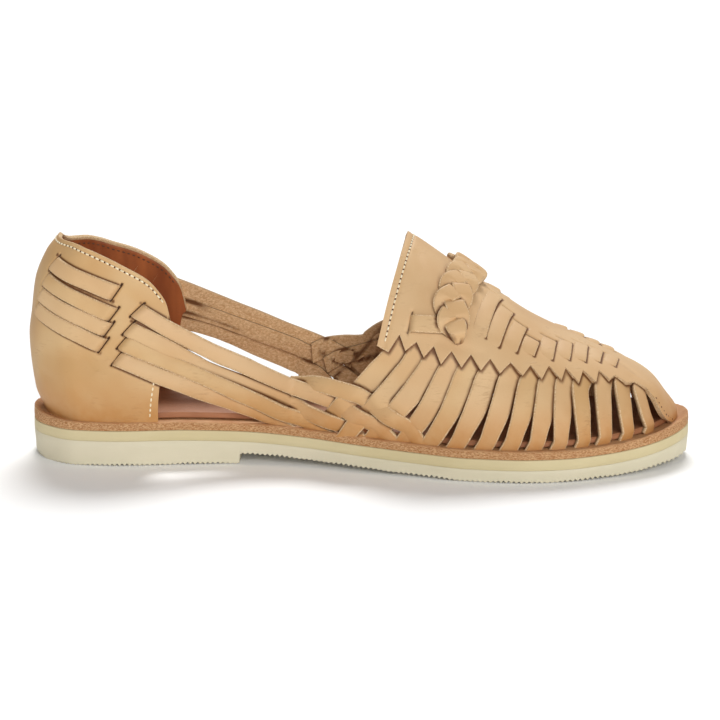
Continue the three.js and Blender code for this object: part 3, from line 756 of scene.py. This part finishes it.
def press(outer, normal, slits, trough, folds):
    """Leather with its slits, seam trough and soft folds pressed in, and the slits' mask, which also carries
    their painted shade.
    """
    slit = near_lines(outer, slits, SLIT_WIDTH)
    fold = near_lines(outer, fold_lines(folds), FOLD_WIDTH)
    depth = SLIT_DEPTH * slit + SEAM_TROUGH * trough + FOLD_DEPTH * fold
    return outer - normal * depth[..., None], slit


COUNTER_COLUMNS = 360
COUNTER_ROWS = 110
# The collar's cut edge, as (lift, height) in millimetres: outer leather, glue line, lining
COLLAR_EDGE = [(-0.02, -0.25), (-0.25, 0.0), (-1.65, 0.0), (-1.85, -0.2), (-1.88, -1.3), (-1.95, -1.1),
               (-2.45, -1.1), (-2.6, -1.5)]

share = np.linspace(-1, 1, COUNTER_COLUMNS)[:, None]
level = np.linspace(0, 1, COUNTER_ROWS)[None, :]
front = angle_of(blend(COUNTER_FRONT_LOW, COUNTER_FRONT_HIGH, level))
turn = share * front
top = collar_at(turn)
around = blend(-0.03, top, level)
up, _ = reach_of(turn, clamp(around, 0.01, 1.99))
drop = 0.5 * ease((level - 0.97) / 0.03) / up
outer = skin(turn, around - drop, 0 * turn)
normal = normal_at(turn, around)
seam_gap = (top - around) * up
trough = np.exp(-(((seam_gap - SEAM_INSET) / TROUGH_WIDTH) ** 2)) * (along_of(turn) < TROUGH_UNTIL)
outer, slit = press(outer, normal, slits, trough, COUNTER_FOLDS)
edge_turn, edge_top, edge_up = turn[:, -1:], top[:, -1:], up[:, -1:]
edge = [skin(edge_turn, edge_top + rise / edge_up, lift + 0 * edge_turn) for lift, rise in COLLAR_EDGE]
inner = skin(turn, around - 1.8 * level / up, -COUNTER_WALL + 0 * turn)[:, ::-1]
ring = np.concatenate([outer, *edge, inner], axis=1)
count = len(COLLAR_EDGE)


def across_ring(on_outer, on_edge, on_inner):
    """A mark over the counter's rings: its outer face, its collar edge and its lining."""
    flat = np.ones((COUNTER_COLUMNS, 1))
    edge_marks = np.broadcast_to(np.asarray(on_edge, float), (COUNTER_COLUMNS, count))
    return np.concatenate([flat * on_outer, edge_marks, flat * on_inner * np.ones((1, COUNTER_ROWS))], 1)


# Painted shade on the counter beside the straps' edges.
strap_edge_shade = contact(outer, np.concatenate(strap_edges), CONTACT_REACH)
counter_marks = {
    # Painted shade in the slits, faintly in the seam trough, and along the collar where its cut edge meets
    # the lining.
    "slit": across_ring(slit + 0.12 * trough, [0, 0, 0, 0.15, 0.4, 0.2, 0, 0], 0.0),
    "contact": across_ring(strap_edge_shade, np.zeros(count), 0.0),
    "raw": across_ring(np.zeros((1, COUNTER_ROWS)), [0.3, 1, 1, 1, 0.5, 0, 0, 0], 0.0),
    "lining": across_ring(np.zeros((1, COUNTER_ROWS)), [0, 0, 0, 0, 0, 1, 1, 1], 1.0),
    "rise": rise_of(ring),
}

# One vegetable-tanned leather serves the whole upper. Marks on the meshes say where it
# shows its raw cut edge, its fuzzy flesh side or the lining, and where shade is painted into it:
# inside the slits, beside and under other straps' edges, and at the foot of a strap's cut sides.
wire, noise, close = new_finish("vegetable_tanned_leather")


def mark(name):
    return wire.node("Attribute", {"attribute_name": name}, {}, "Fac")


patches = noise(26, detail=2).ramp(0.3, 0.72)
freckles = noise(1.1, detail=5, roughness=0.7)
creases = noise(1.1, (3, 3, 0.5), 3).ramp(0.5, 0.72) * noise(13).ramp(0.52, 0.68)
grain = patches.choose("#c09764", "#ccab7d")
# Lighter by this mark: a random tone per strap, and on the vamp piece also painted light from above.
grain = (mark("tint") * 0.55).choose(grain, "#d3b088")
burnish = (1 - mark("rise").ramp(-2.0, 22.0)) * (noise(6).ramp(0.2, 0.8) * 0.35 + 0.65)
grain = (burnish * 0.92).choose(grain, "#b47a3d")
# Freckles are the leather's own spots. Creases are darkened as well as bumped: painted shade in them.
grain = (freckles.ramp(0.6, 0.8) * 0.2 + creases * 0.22).choose(grain, "#8f5f33")
fibres = noise(0.5, (1, 1, 1), 5, 0.75)
raw_tone = fibres.ramp(0.35, 0.68).choose("#b98f60", "#e6cfa9")
raw_tone = (mark("shadow") * 0.75).choose(raw_tone, "#5b371e")
nap = noise(0.6, (1.8, 1.8, 1), 5, 0.8)
flesh_tone = nap.ramp(0.35, 0.68).choose("#ba8e5f", "#e6c398")
folds = noise(7, (1, 1, 5), 2)
lining_tone = folds.ramp(0.25, 0.8).choose("#80401c", "#a65c2c")
tone = mark("raw").choose(grain, raw_tone)
tone = mark("flesh").choose(tone, flesh_tone)
tone = mark("lining").choose(tone, lining_tone)
# Painted contact shade: darker where a face runs in under another strap's edge or the vamp piece's zigzag
# edge.
tone = mark("contact").ramp(0.1, 0.72).choose(tone, "#68401f")
# Painted shade, darkest: inside the slits, fainter in the seam troughs and along the collar's edge by the
# lining.
tone = mark("slit").ramp(0.2, 0.7).choose(tone, "#452817")
height = (
    freckles * 0.45
    + creases * 0.5
    + (mark("raw") + mark("flesh")) * fibres * 1.6
    + mark("lining") * folds * 1.2
)
roughness = 0.52 + patches * 0.1 + (mark("raw") + mark("flesh")) * 0.3
leather = close(
    {"Base Color": tone, "Roughness": roughness, "Specular IOR Level": 0.35}, height, 0.16
)

counter = make_piece("heel_counter", ring.reshape(-1, 3), tube(ring), leather, counter_marks)
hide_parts("upper")

# Heel straps: four strips of the same leather on either side. Each is pushed out
# through a slit at the back of the counter and in again through one at its side.
STRAP_WALL = 1.8
STRAP_RISE = 1.2
DIVE_DEPTH = 2.1
CROWN = 0.18


def dive(run, start, end, reach=2.2):
    """1 where a strap's ends turn down into their slits, 0 over the rest of its length."""
    near_start = clamp(1 - run / reach) ** 2 if start else 0
    near_end = clamp(1 - (run[-1] - run) / reach) ** 2 if end else 0
    return np.maximum(near_start, near_end) + 0 * run


def ribbon(turn, around, lift, run, width, seed, slant=0.0, crown=CROWN, tint=None, flare=0.0, tilt=0.0):
    """A hand-cut strap on the last, its inner face at lift, with rounded edges and its marks.
    Flare is what its width gains along its run, and tilt is how much higher its left edge is
    than its right one, in millimetres."""
    wall = STRAP_WALL
    random = np.random.default_rng(seed)
    phases = random.uniform(0, 2 * math.pi, 6)
    left = 0.1 * np.sin(run / 9 + phases[0]) + 0.06 * np.sin(run / 3.1 + phases[1])
    right = 0.1 * np.sin(run / 8 + phases[2]) + 0.06 * np.sin(run / 3.7 + phases[3])
    buckle = 0.1 * np.sin(run / 11 + phases[4]) + 0.05 * np.sin(run / 4.3 + phases[5])
    half = width / 2
    # Half of the section, as (share of the half-width, in from the edge, below the top, raw, flesh)
    right_side = [
        (0.0, 0.0, -crown, 0, 0), (0.35, 0.0, -crown * 0.9, 0, 0), (0.62, 0.0, -crown * 0.6, 0, 0),
        (0.82, 0.0, -crown * 0.3, 0, 0), (1.0, 0.62, 0.0, 0.05, 0),
        (1.0, 0.38, 0.06, 0.75, 0), (1.0, 0.1, 0.2, 1, 0), (1.0, 0.0, 0.5, 1, 0),
        (1.0, 0.0, wall - 0.4, 1, 0), (1.0, 0.12, wall - 0.05, 0.5, 0.6),
        (0.9, 0.0, wall, 0, 1), (0.45, 0.0, wall, 0, 1),
    ]
    section = [(-s * half + i, d, raw, flesh, -1) for s, i, d, raw, flesh in right_side[:0:-1]]
    section += [(s * half - i, d, raw, flesh, 1) for s, i, d, raw, flesh in right_side]
    section.append((0.0, wall, 0, 1, 0))
    table = np.array(section, float)
    offset, depth, raw, flesh, way = table.T
    shadow = clamp(1 - np.abs(depth - wall + 0.4) / 0.9) * (np.abs(offset) > half - 0.2)
    edge_share = np.abs(offset) / half
    wander = np.where(way > 0, right[:, None], left[:, None]) * edge_share
    wander = wander + way * edge_share * (flare + 0 * run)[:, None] / 2
    side_turn, side_around = beside(turn, around, offset[None, :] + wander, slant)
    height = lift[:, None] + buckle[:, None] + wall - depth[None, :]
    height = height - np.reshape(tilt + 0 * run, (-1, 1)) * offset / width
    points = skin(side_turn, side_around, height)
    shape = points.shape[:-1]
    shade = random.uniform(0, 1) if tint is None else tint
    marks = {
        "raw": np.broadcast_to(raw, shape),
        "flesh": np.broadcast_to(flesh, shape),
        "shadow": np.broadcast_to(shadow, shape),
        "tint": np.full(shape, shade),
        "rise": rise_of(points),
    }
    return points, tube(points), marks


def inner_edges(points):
    """The corner points of a strap's inner face, both edges of it."""
    size = points.shape[1]
    return points[:, [2, size - 4]].reshape(-1, 3)


def paint_crossing_shade(parts, others=(), reach=1.4):
    """Paints contact shade on every strap of a group where it runs in under an edge of another one."""
    edges = [inner_edges(points) for points, _, _ in parts]
    for number, (points, _, marks) in enumerate(parts):
        nearby = np.concatenate([*edges[:number], *edges[number + 1 :], *others])
        marks["contact"] = contact(points, nearby, reach)


parts = []
for number, (turn, around, run, width, side) in enumerate(heel_paths):
    lift = STRAP_RISE - STRAP_WALL - DIVE_DEPTH * dive(run, True, True)
    parts.append(ribbon(turn, around, lift, run, width, number + 10, side * -SLIT_SLANT, crown=0.3))
make_joined("heel_straps", parts, leather)

# Side straps: four long straps on either side run from slits in the counter to the
# waist, where they are woven through the first vamp strips and glued under the midsole.
STRIP_DEPTH = 2.7
WEAVE_RISE = 2.0
WOVEN_CROWN = 0.6
STRIP_CONTACT, WOVEN_CONTACT, BRAID_CONTACT = 1.9, 1.6, 1.9
# Short straps that close the weave at the top, as (along, around, level in the weave)
INNER_TOP_STRAP = [
    (0.42, 0.13, -0.3), (0.445, 0.153, 0.8), (0.47, 0.167, 1.2), (0.5, 0.183, 1), (0.53, 0.244, 0.3),
    (0.56, 0.3, 0), (0.58, 0.36, 0),
]
INNER_LOWER_STRAP = [
    (0.44, 0.1, -0.6), (0.46, 0.125, 0.2), (0.49, 0.155, 0.2), (0.525, 0.19, 0.1), (0.56, 0.24, -0.3),
    (0.58, 0.3, -0.3),
]
TOP_STRAP = [
    (0.395, 0.098, -1.2), (0.415, 0.108, -0.7), (0.437, 0.119, 0.6), (0.462, 0.122, 1.2),
    (0.497, 0.122, 1), (0.52, 0.108, 0), (0.552, 0.08, 1.2), (0.58, 0.045, 0), (0.6, -0.03, 0),
]

side_straps = []
for side, straps in ((-1, OUTER_STRAPS), (1, INNER_STRAPS)):
    name = "outer_side_straps" if side < 0 else "inner_side_straps"
    parts = []
    closing = [(6.4, TOP_STRAP)] if side < 0 else [(8.0, INNER_TOP_STRAP), (6.4, INNER_LOWER_STRAP)]
    for number, (width, path) in enumerate([*straps, *closing]):
        rows = []
        for along, height, level in path:
            lift = STRAP_RISE - STRAP_WALL if level == 2 else level * WEAVE_RISE - STRIP_DEPTH
            rows.append((side * angle_of(along), height, lift))
        turn, around, lift, run = dense_path(rows, 1.0)
        if path[0][2] == 2:
            lift = lift - DIVE_DEPTH * dive(run, True, False)
        seed = number + 30 + 5 * side
        parts.append(ribbon(turn, around, lift, run, width, seed, side * -SLIT_SLANT, WOVEN_CROWN))
    side_straps.append((name, parts))

# Vamp strips: fourteen strips on either side, glued under the midsole at their feet.
# The first three cross the side straps, over and under, and all go up under the vamp.
# Each strip: its foot, its neck at the band as (along, around), its width, its raised stretch
VAMP_STRIPS = [
    (0.44, (0.558, 0.294), 6.6, None),
    (0.483, (0.586, 0.279), 6.6, None),
    (0.522, (0.611, 0.277), 6.6, None),
    (0.571, (0.64, 0.285), 6.6, ((0.684, 0.475), (0.713, 0.92))),
    (0.61, (0.667, 0.294), 6.6, ((0.704, 0.458), (0.73, 0.81))),
    (0.65, (0.697, 0.297), 6.5, ((0.731, 0.475), (0.75, 0.73))),
    (0.694, (0.729, 0.308), 6.4, ((0.758, 0.505), (0.768, 0.651))),
    (0.733, (0.761, 0.329), 6.3, ((0.786, 0.524), (0.795, 0.738))),
    (0.772, (0.79, 0.352), 6.2, ((0.813, 0.575), (0.82, 0.8))),
    (0.81, (0.815, 0.357), 6.0, ((0.839, 0.61), (0.846, 0.88))),
    (0.848, (0.842, 0.378), 5.8, ((0.863, 0.67), (0.871, 0.91))),
    (0.882, (0.877, 0.42), 5.8, ((0.887, 0.69), (0.895, 0.91))),
    (0.919, (0.909, 0.46), 5.8, None),
    (0.957, (0.937, 0.49), 5.6, None),
]
WOVEN_LEVELS = [(0, 1, 0), (1, 0, 1), (0, 0, 1)]
NECK_FLARE = 1.9
NECK_TILT = 1.5
# On the inner side the strips at the toe are wider, and the last one stands further forward
WIDER_FROM, INNER_WIDER = 11, 0.9
LAST_STRIP, LAST_WIDER, LAST_FOOT, LAST_NECK = 13, 4.2, 0.963, (0.945, 0.49)
# The vamp piece's lower edge, as (along, around): notches over the strips, points between them
VAMP_EDGE = [
    (0.531, 0.29), (0.548, 0.283), (0.565, 0.353), (0.574, 0.304), (0.591, 0.347), (0.602, 0.302),
    (0.617, 0.355), (0.628, 0.298), (0.644, 0.363), (0.659, 0.312), (0.673, 0.379), (0.688, 0.324),
    (0.702, 0.39), (0.717, 0.339), (0.733, 0.412), (0.751, 0.367), (0.763, 0.439), (0.78, 0.38),
    (0.791, 0.474), (0.81, 0.404), (0.817, 0.496), (0.837, 0.412), (0.844, 0.517), (0.864, 0.449),
    (0.869, 0.561), (0.886, 0.498), (0.894, 0.56), (0.913, 0.513), (0.925, 0.56), (0.945, 0.54),
    (0.956, 0.42), (0.969, 0.2), (0.983, 0.03), (0.99, -0.04), (0.998, -0.04),
]

knots = np.array(VAMP_EDGE)
# Points along the vamp piece's lower edge, from which painted shade falls on the strips.
band = np.linspace(knots[0, 0], knots[-1, 0], 1500)
band_turn = np.concatenate([-angle_of(band), angle_of(band)])
band_around = np.tile(np.interp(band, knots[:, 0], knots[:, 1]), 2)
band_edge = skin(band_turn, band_around, 0 * band_turn - 0.9)

for side, name in ((-1, "outer_vamp_strips"), (1, "inner_vamp_strips")):
    parts = []
    for number, (foot, neck, width, raised) in enumerate(VAMP_STRIPS):
        if side > 0 and number == LAST_STRIP:
            foot, neck = LAST_FOOT, LAST_NECK
        low, middle, high = WOVEN_LEVELS[number] if number < len(WOVEN_LEVELS) else (0, 0, 0)
        lean = 0.032 if number < len(WOVEN_LEVELS) else 0.003
        tuck = raised[0] if raised else (neck[0] + lean, neck[1] + 0.25)
        path = [
            (foot - 0.008, -0.035, low),
            (blend(foot, neck[0], 0.14), neck[1] * 0.1, low),
            (blend(foot, neck[0], 0.33), neck[1] * 0.27, middle),
            (blend(foot, neck[0], 0.52), neck[1] * 0.44, high),
            (blend(foot, neck[0], 0.76), neck[1] * 0.7, 0),
            (neck[0], neck[1], 0),
            (blend(neck[0], tuck[0], 0.65), blend(neck[1], tuck[1], 0.65), 0),
        ]
        rows = [(side * angle_of(a), around, lev * WEAVE_RISE - STRIP_DEPTH) for a, around, lev in path]
        turn, around, lift, run = dense_path(rows, 1.0)
        neck_share = ease(around * 1.35 / neck[1])
        flare, tilt = NECK_FLARE * neck_share, side * NECK_TILT * (0.35 + 0.65 * neck_share)
        seed = number + 60 + 20 * side
        if side > 0 and number >= WIDER_FROM:
            width += LAST_WIDER if number == LAST_STRIP else INNER_WIDER
        parts.append(ribbon(turn, around, lift, run, width, seed, flare=flare, tilt=tilt))
    strap_name, straps = side_straps[0 if side < 0 else 1]
    woven_edges = [inner_edges(strap[0]) for strap in straps]
    strip_edges = [inner_edges(strip[0]) for strip in parts[:4]]
    # Painted shade on the strips under the band's edge and the woven straps, and on the woven straps under
    # the strips.
    paint_crossing_shade(parts, [band_edge, *woven_edges], STRIP_CONTACT)
    paint_crossing_shade(straps, strip_edges, WOVEN_CONTACT)
    for piece, group in ((name, parts), (strap_name, straps)):
        make_joined(piece, group, leather)

# Vamp piece: tongue, zigzag bands, spine and toe, all cut from one skin of leather that
# is drawn over the last and covers the strips' upper ends. A row of stitches turns its
# back edge, and slits along the spine take the ends of the raised strips.
PLUG_DEPTH = 1.6
PLUG_WALL = 1.9
BAR_NARROWER = 0.5
BAR_EDGE_LIFT = 0.3
TONGUE_LOW, TONGUE_INNER, TONGUE_HIGH, TONGUE_UNTIL = 0.531, 0.556, 0.574, 0.63
TONGUE_SEAM_INSET = 2.6
VAMP_COLUMNS = 180
VAMP_FOLDS = [
    ((0.605, 0.56), (0.59, 0.76)), ((0.625, 0.38), (0.69, 0.4)), ((0.925, 0.62), (0.95, 0.5)),
    ((0.9, 0.85), (0.93, 0.72)),
]

raised_paths, bar_edges, vamp_slits = [], [], []
for side in (-1, 1):
    for number, (foot, neck, width, raised) in enumerate(VAMP_STRIPS):
        if raised:
            turn, around, _, run = dense_path([(side * angle_of(a), up, 0.0) for a, up in raised], 0.6)
            raised_paths.append((turn, around, run, width - BAR_NARROWER))
            vamp_slits.append(end_line(turn, around, width - BAR_NARROWER, -1, 0.0, 0.7))
            toe_side = side * (width - BAR_NARROWER) / 2
            bar_edges.append(edge_points(turn, around, [toe_side], BAR_EDGE_LIFT))

# The side strand of the braid comes out of one more slit, on the outer side
BRAID_TAIL = [(0.58, 0.403), (0.6, 0.418), (0.618, 0.435), (0.636, 0.455)]
TAIL_WIDTH = 6.6
turn, around, _, run = dense_path([(-angle_of(a), up, 0.0) for a, up in BRAID_TAIL], 0.7)
vamp_slits.append(end_line(turn, around, TAIL_WIDTH, 0, 0.15, 1.4))

along = np.unique(np.concatenate([knots[:, 0], np.linspace(knots[0, 0], knots[-1, 0], 215)]))[:, None]
edge = np.interp(along, knots[:, 0], knots[:, 1])
share = np.linspace(0, 2, VAMP_COLUMNS + 1)[None, :]
around = np.where(share <= 1, blend(edge, 1, share), blend(1, 2 - edge, share - 1))
climb = clamp(1 - np.abs(share - 1))
low = np.where(share > 1, angle_of(TONGUE_INNER), angle_of(TONGUE_LOW))
start = blend(low, angle_of(TONGUE_HIGH), np.sin(climb * math.pi / 2))
passed = (angle_of(along) - angle_of(TONGUE_LOW)) / (angle_of(TONGUE_UNTIL) - angle_of(TONGUE_LOW))
turn = -np.where(passed < 1, blend(start, angle_of(TONGUE_UNTIL), passed), angle_of(along) + 0 * share)
lift = PLUG_WALL - PLUG_DEPTH + 0 * turn
outer = skin(turn, around, lift)
normal = normal_at(turn, around)
_, forth = reach_of(turn, clamp(around, 0.01, 1.99))
seam_gap = np.abs(turn - turn[:1]) * forth
trough = np.exp(-(((seam_gap - TONGUE_SEAM_INSET) / TROUGH_WIDTH) ** 2)) * (np.abs(share - 1) < 0.99)
outer, slit = press(outer, normal, vamp_slits, trough, VAMP_FOLDS)
inner = skin(turn, around, -PLUG_DEPTH + 0 * turn)[:, ::-1]
ring = np.concatenate([outer, inner], axis=1)
flat = np.zeros(inner.shape[:-1])
edge_raw = np.zeros(outer.shape[:-1])
edge_raw[:, [0, -1]] = 1.0
# Painted shade on the vamp piece beside the raised strips' toe-side edges.
shaded = contact(outer, np.concatenate(bar_edges), CONTACT_REACH)
marks = {
    # Painted shade in the slits and, faintly, in the seam trough.
    "slit": np.concatenate([slit + 0.1 * trough, flat], axis=1),
    "contact": np.concatenate([shaded, flat], axis=1),
    "raw": np.concatenate([edge_raw, edge_raw], axis=1),
    "flesh": np.concatenate([flat, flat + 1], axis=1),
    # The vamp piece is tinted light: partly its own tone, partly painted light from above.
    "tint": np.full(ring.shape[:-1], 0.8),
    "rise": rise_of(ring),
}
make_piece("vamp_piece", ring.reshape(-1, 3), tube(ring), leather, marks)

# Raised strips: the ends of the vamp strips come up through slits above the zigzag
# band and go down again beside the spine, as a row of little bars.
BAR_RISE = 0.5
BAR_TILT = 0.6
BAR_DIVE = 1.9

parts = []
for number, (turn, around, run, width) in enumerate(raised_paths):
    lift = PLUG_WALL - PLUG_DEPTH + BAR_RISE - STRAP_WALL - BAR_DIVE * dive(run, False, True, 3.5)
    lift = lift - (BAR_RISE + 0.15) * dive(run, True, False, 5.0)
    tilt = BAR_TILT if turn[0] < 0 else -BAR_TILT
    parts.append(ribbon(turn, around, lift, run, width, number + 120, crown=0.15, tint=0.75, tilt=tilt))
paint_crossing_shade(parts)
make_joined("raised_strips", parts, leather)

# Instep braid: three flat strands of leather plaited over the vamp piece from side to
# side, their ends drawn to points and pressed down. One more strand comes to it from a
# slit on the outer side.
BRAID_WIDTH = 14.4
BRAID_STRAND = 7.2
BRAID_PERIOD = 26.0
BRAID_RISE = 1.0
BRAID_SEAT = 0.2
BRAID_DIVE = 3.0
TAIL_DIVE = 2.2
BRAID_PATH = [
    (0.655, 0.4), (0.645, 0.47), (0.641, 0.53), (0.646, 0.63), (0.657, 0.79), (0.668, 1.0),
    (0.657, 1.21), (0.646, 1.37), (0.641, 1.47), (0.645, 1.53), (0.65, 1.58),
]

seat = PLUG_WALL - PLUG_DEPTH + BRAID_SEAT
turn, around, _, run = dense_path([(-angle_of(a), up, 0.0) for a, up in BRAID_PATH], 0.7)
_, forth = reach_of(turn, around)
sway = (BRAID_WIDTH - BRAID_STRAND) / 2
parts = []
for strand in range(3):
    phase = 2 * math.pi * (run / BRAID_PERIOD + strand / 3)
    over = clamp(-1.7 * np.sin(2 * phase), -1, 1)
    lift = seat + BRAID_RISE * (1 + over) - BRAID_DIVE * dive(run, True, True, 5.0)
    together = ease(run / 12) * ease((run[-1] - run) / 12) * 0.75 + 0.25
    zigzag = (np.sin(phase) - np.sin(3 * phase) / 9) * 0.9
    weave_turn = turn + sway * together * zigzag / forth
    point = -BRAID_STRAND * 0.8 * (clamp(1 - run / 6) + clamp(1 - (run[-1] - run) / 6))
    look = {"seed": strand + 160, "crown": 0.2, "tint": 0.6, "flare": point}
    parts.append(ribbon(weave_turn, around, lift, run, BRAID_STRAND, **look))
rows = [(-angle_of(a), up, seat - 0.2) for a, up in BRAID_TAIL]
turn, around, lift, run = dense_path(rows, 0.7)
lift = lift - TAIL_DIVE * dive(run, True, False)
parts.append(ribbon(turn, around, lift, run, TAIL_WIDTH, 170, crown=0.2, tint=0.6))
paint_crossing_shade(parts, reach=BRAID_CONTACT)
braid = make_joined("three_strand_braid", parts, leather)
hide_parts("instep_braid")

# Stitching: cream waxed thread in one row along the collar, down the counter's front
# edges and along the tongue's back edge. The needle holes between stitches, and the pin holes by the toe,
# are dark beads: painted shade in the holes.
STITCH_PITCH = 2.1
STITCH_LENGTH = 1.6
THREAD = 0.75
FRONT_SEAM_INSET = 2.4
LINING_SEAM_INSET = 2.6
COLLAR_SEAM_END = 0.204
TONGUE_SEAM_LOW, TONGUE_SEAM_HIGH = 0.29, 1.71
# The row of pin holes beside the toe end of the vamp piece, as (along, around)
TOE_PINS = [(0.957, 0.45), (0.966, 0.33), (0.976, 0.2), (0.989, 0.03)]


def beads(centres, tangents, normals, length, width, height, rings=6, sides=8):
    """Small long beads lying on the leather, one at each centre."""
    across = unit(np.cross(normals, tangents))
    lift = unit(np.cross(tangents, across))
    parts = []
    for centre, tangent, side, rise in zip(centres, tangents, across, lift):
        polar = np.linspace(0.02, math.pi - 0.02, rings)[:, None]
        angle = (np.arange(sides) / sides * 2 * math.pi)[None, :]
        shape = (
            np.cos(polar)[..., None] * tangent * length / 2
            + (np.sin(polar) * np.cos(angle))[..., None] * side * width / 2
            + (np.sin(polar) * np.sin(angle))[..., None] * rise * height / 2
        )
        parts.append((centre + shape, tube(shape), {}))
    return join(parts)


def seam_places(turn, around, lift):
    """Evenly spaced centres, directions and normals along a seam."""
    track = skin(turn, around, lift + 0 * turn)
    normal = last_frame(turn, clamp(around, 0.02, 1.98))[2]
    run = np.concatenate([[0], np.cumsum(np.linalg.norm(np.diff(track, axis=0), axis=-1))])
    at = np.arange(STITCH_PITCH / 2, run[-1], STITCH_PITCH)
    centres = np.stack([np.interp(at, run, track[:, i]) for i in range(3)], -1)
    normals = unit(np.stack([np.interp(at, run, normal[:, i]) for i in range(3)], -1))
    ahead = np.stack([np.interp(at + 0.5, run, track[:, i]) for i in range(3)], -1)
    behind = np.stack([np.interp(at - 0.5, run, track[:, i]) for i in range(3)], -1)
    return centres, unit(ahead - behind), normals


def bead_row(turn, around, lift, *size):
    """Beads of one length, width and height along a seam."""
    return beads(*seam_places(turn, around, lift), *size)


collar_turn = np.linspace(-angle_of(COLLAR_SEAM_END), angle_of(COLLAR_SEAM_END), 500)
collar_top = collar_at(collar_turn)
collar_up, _ = reach_of(collar_turn, collar_top)
seams = [(collar_turn, collar_top - SEAM_INSET / collar_up, -0.15)]
for side in (-1, 1):
    level = np.linspace(0.0, 0.36, 120)
    front_turn = side * angle_of(blend(COUNTER_FRONT_LOW, COUNTER_FRONT_HIGH, level))
    front_around = blend(0.005, 0.2, level)
    _, front_forth = reach_of(front_turn, front_around)
    seams.append((front_turn - side * FRONT_SEAM_INSET / front_forth, front_around, -0.15))
share = np.linspace(0.03, 1.97, 500)
climb = clamp(1 - np.abs(share - 1))
low = np.where(share > 1, angle_of(TONGUE_INNER), angle_of(TONGUE_LOW))
tongue_turn = -blend(low, angle_of(TONGUE_HIGH), np.sin(climb * math.pi / 2))
rising, falling = blend(TONGUE_SEAM_LOW, 1, share), blend(1, TONGUE_SEAM_HIGH, share - 1)
tongue_around = np.where(share <= 1, rising, falling)
_, tongue_forth = reach_of(tongue_turn, tongue_around)
tongue_turn = tongue_turn - TONGUE_SEAM_INSET / tongue_forth
seams.append((tongue_turn, tongue_around, PLUG_WALL - PLUG_DEPTH - 0.12))

toe_along, toe_around = np.array(TOE_PINS).T
threads = []
holes = [bead_row(-angle_of(toe_along), toe_around, PLUG_WALL - PLUG_DEPTH, 0.8, 0.8, 0.35)]
lining_turn = np.linspace(angle_of(0.004), angle_of(0.2), 300)
lining_up, _ = reach_of(lining_turn, collar_at(lining_turn))
lining_around = collar_at(lining_turn) - LINING_SEAM_INSET / lining_up
holes.append(bead_row(lining_turn, lining_around, 0.02 - COUNTER_WALL, 1.3, 0.6, 0.5))
for turn, around, lift in seams:
    centres, tangents, normals = seam_places(turn, around, lift)
    threads.append(beads(centres, tangents, normals, STITCH_LENGTH, THREAD, THREAD))
    between = centres[:-1] + np.diff(centres, axis=0) / 2 - normals[:-1] * 0.05
    holes.append(beads(between, tangents[:-1], normals[:-1], 0.75, 0.75, 0.4))

wire, noise, close = new_finish("waxed_thread")
twist = noise(0.4, (1, 1, 1), 3)
thread = close(
    {"Base Color": twist.ramp(0.3, 0.7).choose("#d8c49c", "#f3e9cf"), "Roughness": 0.7},
    twist,
    0.1,
)
make_joined("stitching", threads, thread)

# Dark beads for the needle holes and pin holes: painted shade in the holes. The same beads make the dark row
# of stitches on the lining.
wire, noise, close = new_finish("needle_hole")
dark_mottle = noise(0.8).ramp(0.3, 0.7)
hole = close({"Base Color": dark_mottle.choose("#4a3020", "#6b4630"), "Roughness": 0.9})
make_joined("needle_holes", holes, hole)

# Studio: a plain pale floor that runs on behind as the background, a large soft light
# overhead, a weaker one at the front, and an even pale surround.
FLOOR_HALF = 200.0
WORLD_STRENGTH = 0.29
# Each light: its name, where it stands, its softness in degrees and its power
LIGHTS = [
    ("overhead_light", (0.0, 0.85, 1.1), 24, 2.7),
    ("front_light", (0.3, -1.0, 0.36), 38, 1.9),
]

floor_mesh = bpy.data.meshes.new("floor")
floor_mesh.from_pydata(
    [(x * FLOOR_HALF, y * FLOOR_HALF, 0.0) for x, y in ((-1, -1), (1, -1), (1, 1), (-1, 1))],
    [],
    [(0, 1, 2, 3)],
)
wire, noise, close = new_finish("pale_paper")
paper = noise(400).choose("#fbfbfa", "#fdfdfd")
floor_mesh.materials.append(
    close({"Base Color": paper, "Roughness": 0.95, "Specular IOR Level": 0.0})
)
floor = bpy.data.objects.new("floor", floor_mesh)
bpy.context.scene.collection.objects.link(floor)
floor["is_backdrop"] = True

for name, place, softness, power in LIGHTS:
    lamp = bpy.data.lights.new(name, "SUN")
    lamp.angle = math.radians(softness)
    lamp.energy = power
    light = bpy.data.objects.new(name, lamp)
    light.location = place
    light.rotation_euler = (-Vector(place)).to_track_quat("-Z", "Y").to_euler()
    bpy.context.scene.collection.objects.link(light)

world = bpy.data.worlds.new("studio")
bpy.context.scene.world = world
world.use_nodes = True
surround = world.node_tree.nodes["Background"].inputs
surround["Color"].default_value = (1.0, 1.0, 1.0, 1.0)
surround["Strength"].default_value = WORLD_STRENGTH
bpy.context.scene.view_settings.view_transform = "Standard"

# Camera: a long lens almost square to the outer side, looking down a little, as it was
# fitted to the photo.
CAMERA_TURN = math.radians(2.2)
CAMERA_RISE = math.radians(12.0)
CAMERA_DISTANCE = 0.85
CAMERA_LENS = 109.4
target = Vector((0.0002, 0.00394, 0.03589))
back = Vector((
    math.sin(CAMERA_TURN) * math.cos(CAMERA_RISE),
    -math.cos(CAMERA_TURN) * math.cos(CAMERA_RISE),
    math.sin(CAMERA_RISE),
))
lens = bpy.data.cameras.new("camera")
lens.lens = CAMERA_LENS
lens.sensor_width = 36.0
camera = bpy.data.objects.new("camera", lens)
camera.location = target + back * CAMERA_DISTANCE
camera.rotation_euler = (-back).to_track_quat("-Z", "Y").to_euler()
bpy.context.scene.collection.objects.link(camera)
bpy.context.scene.camera = camera

low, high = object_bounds()
{"cad": [list(cad_low), list(cad_high)], "visual": [list(low), list(high)]}
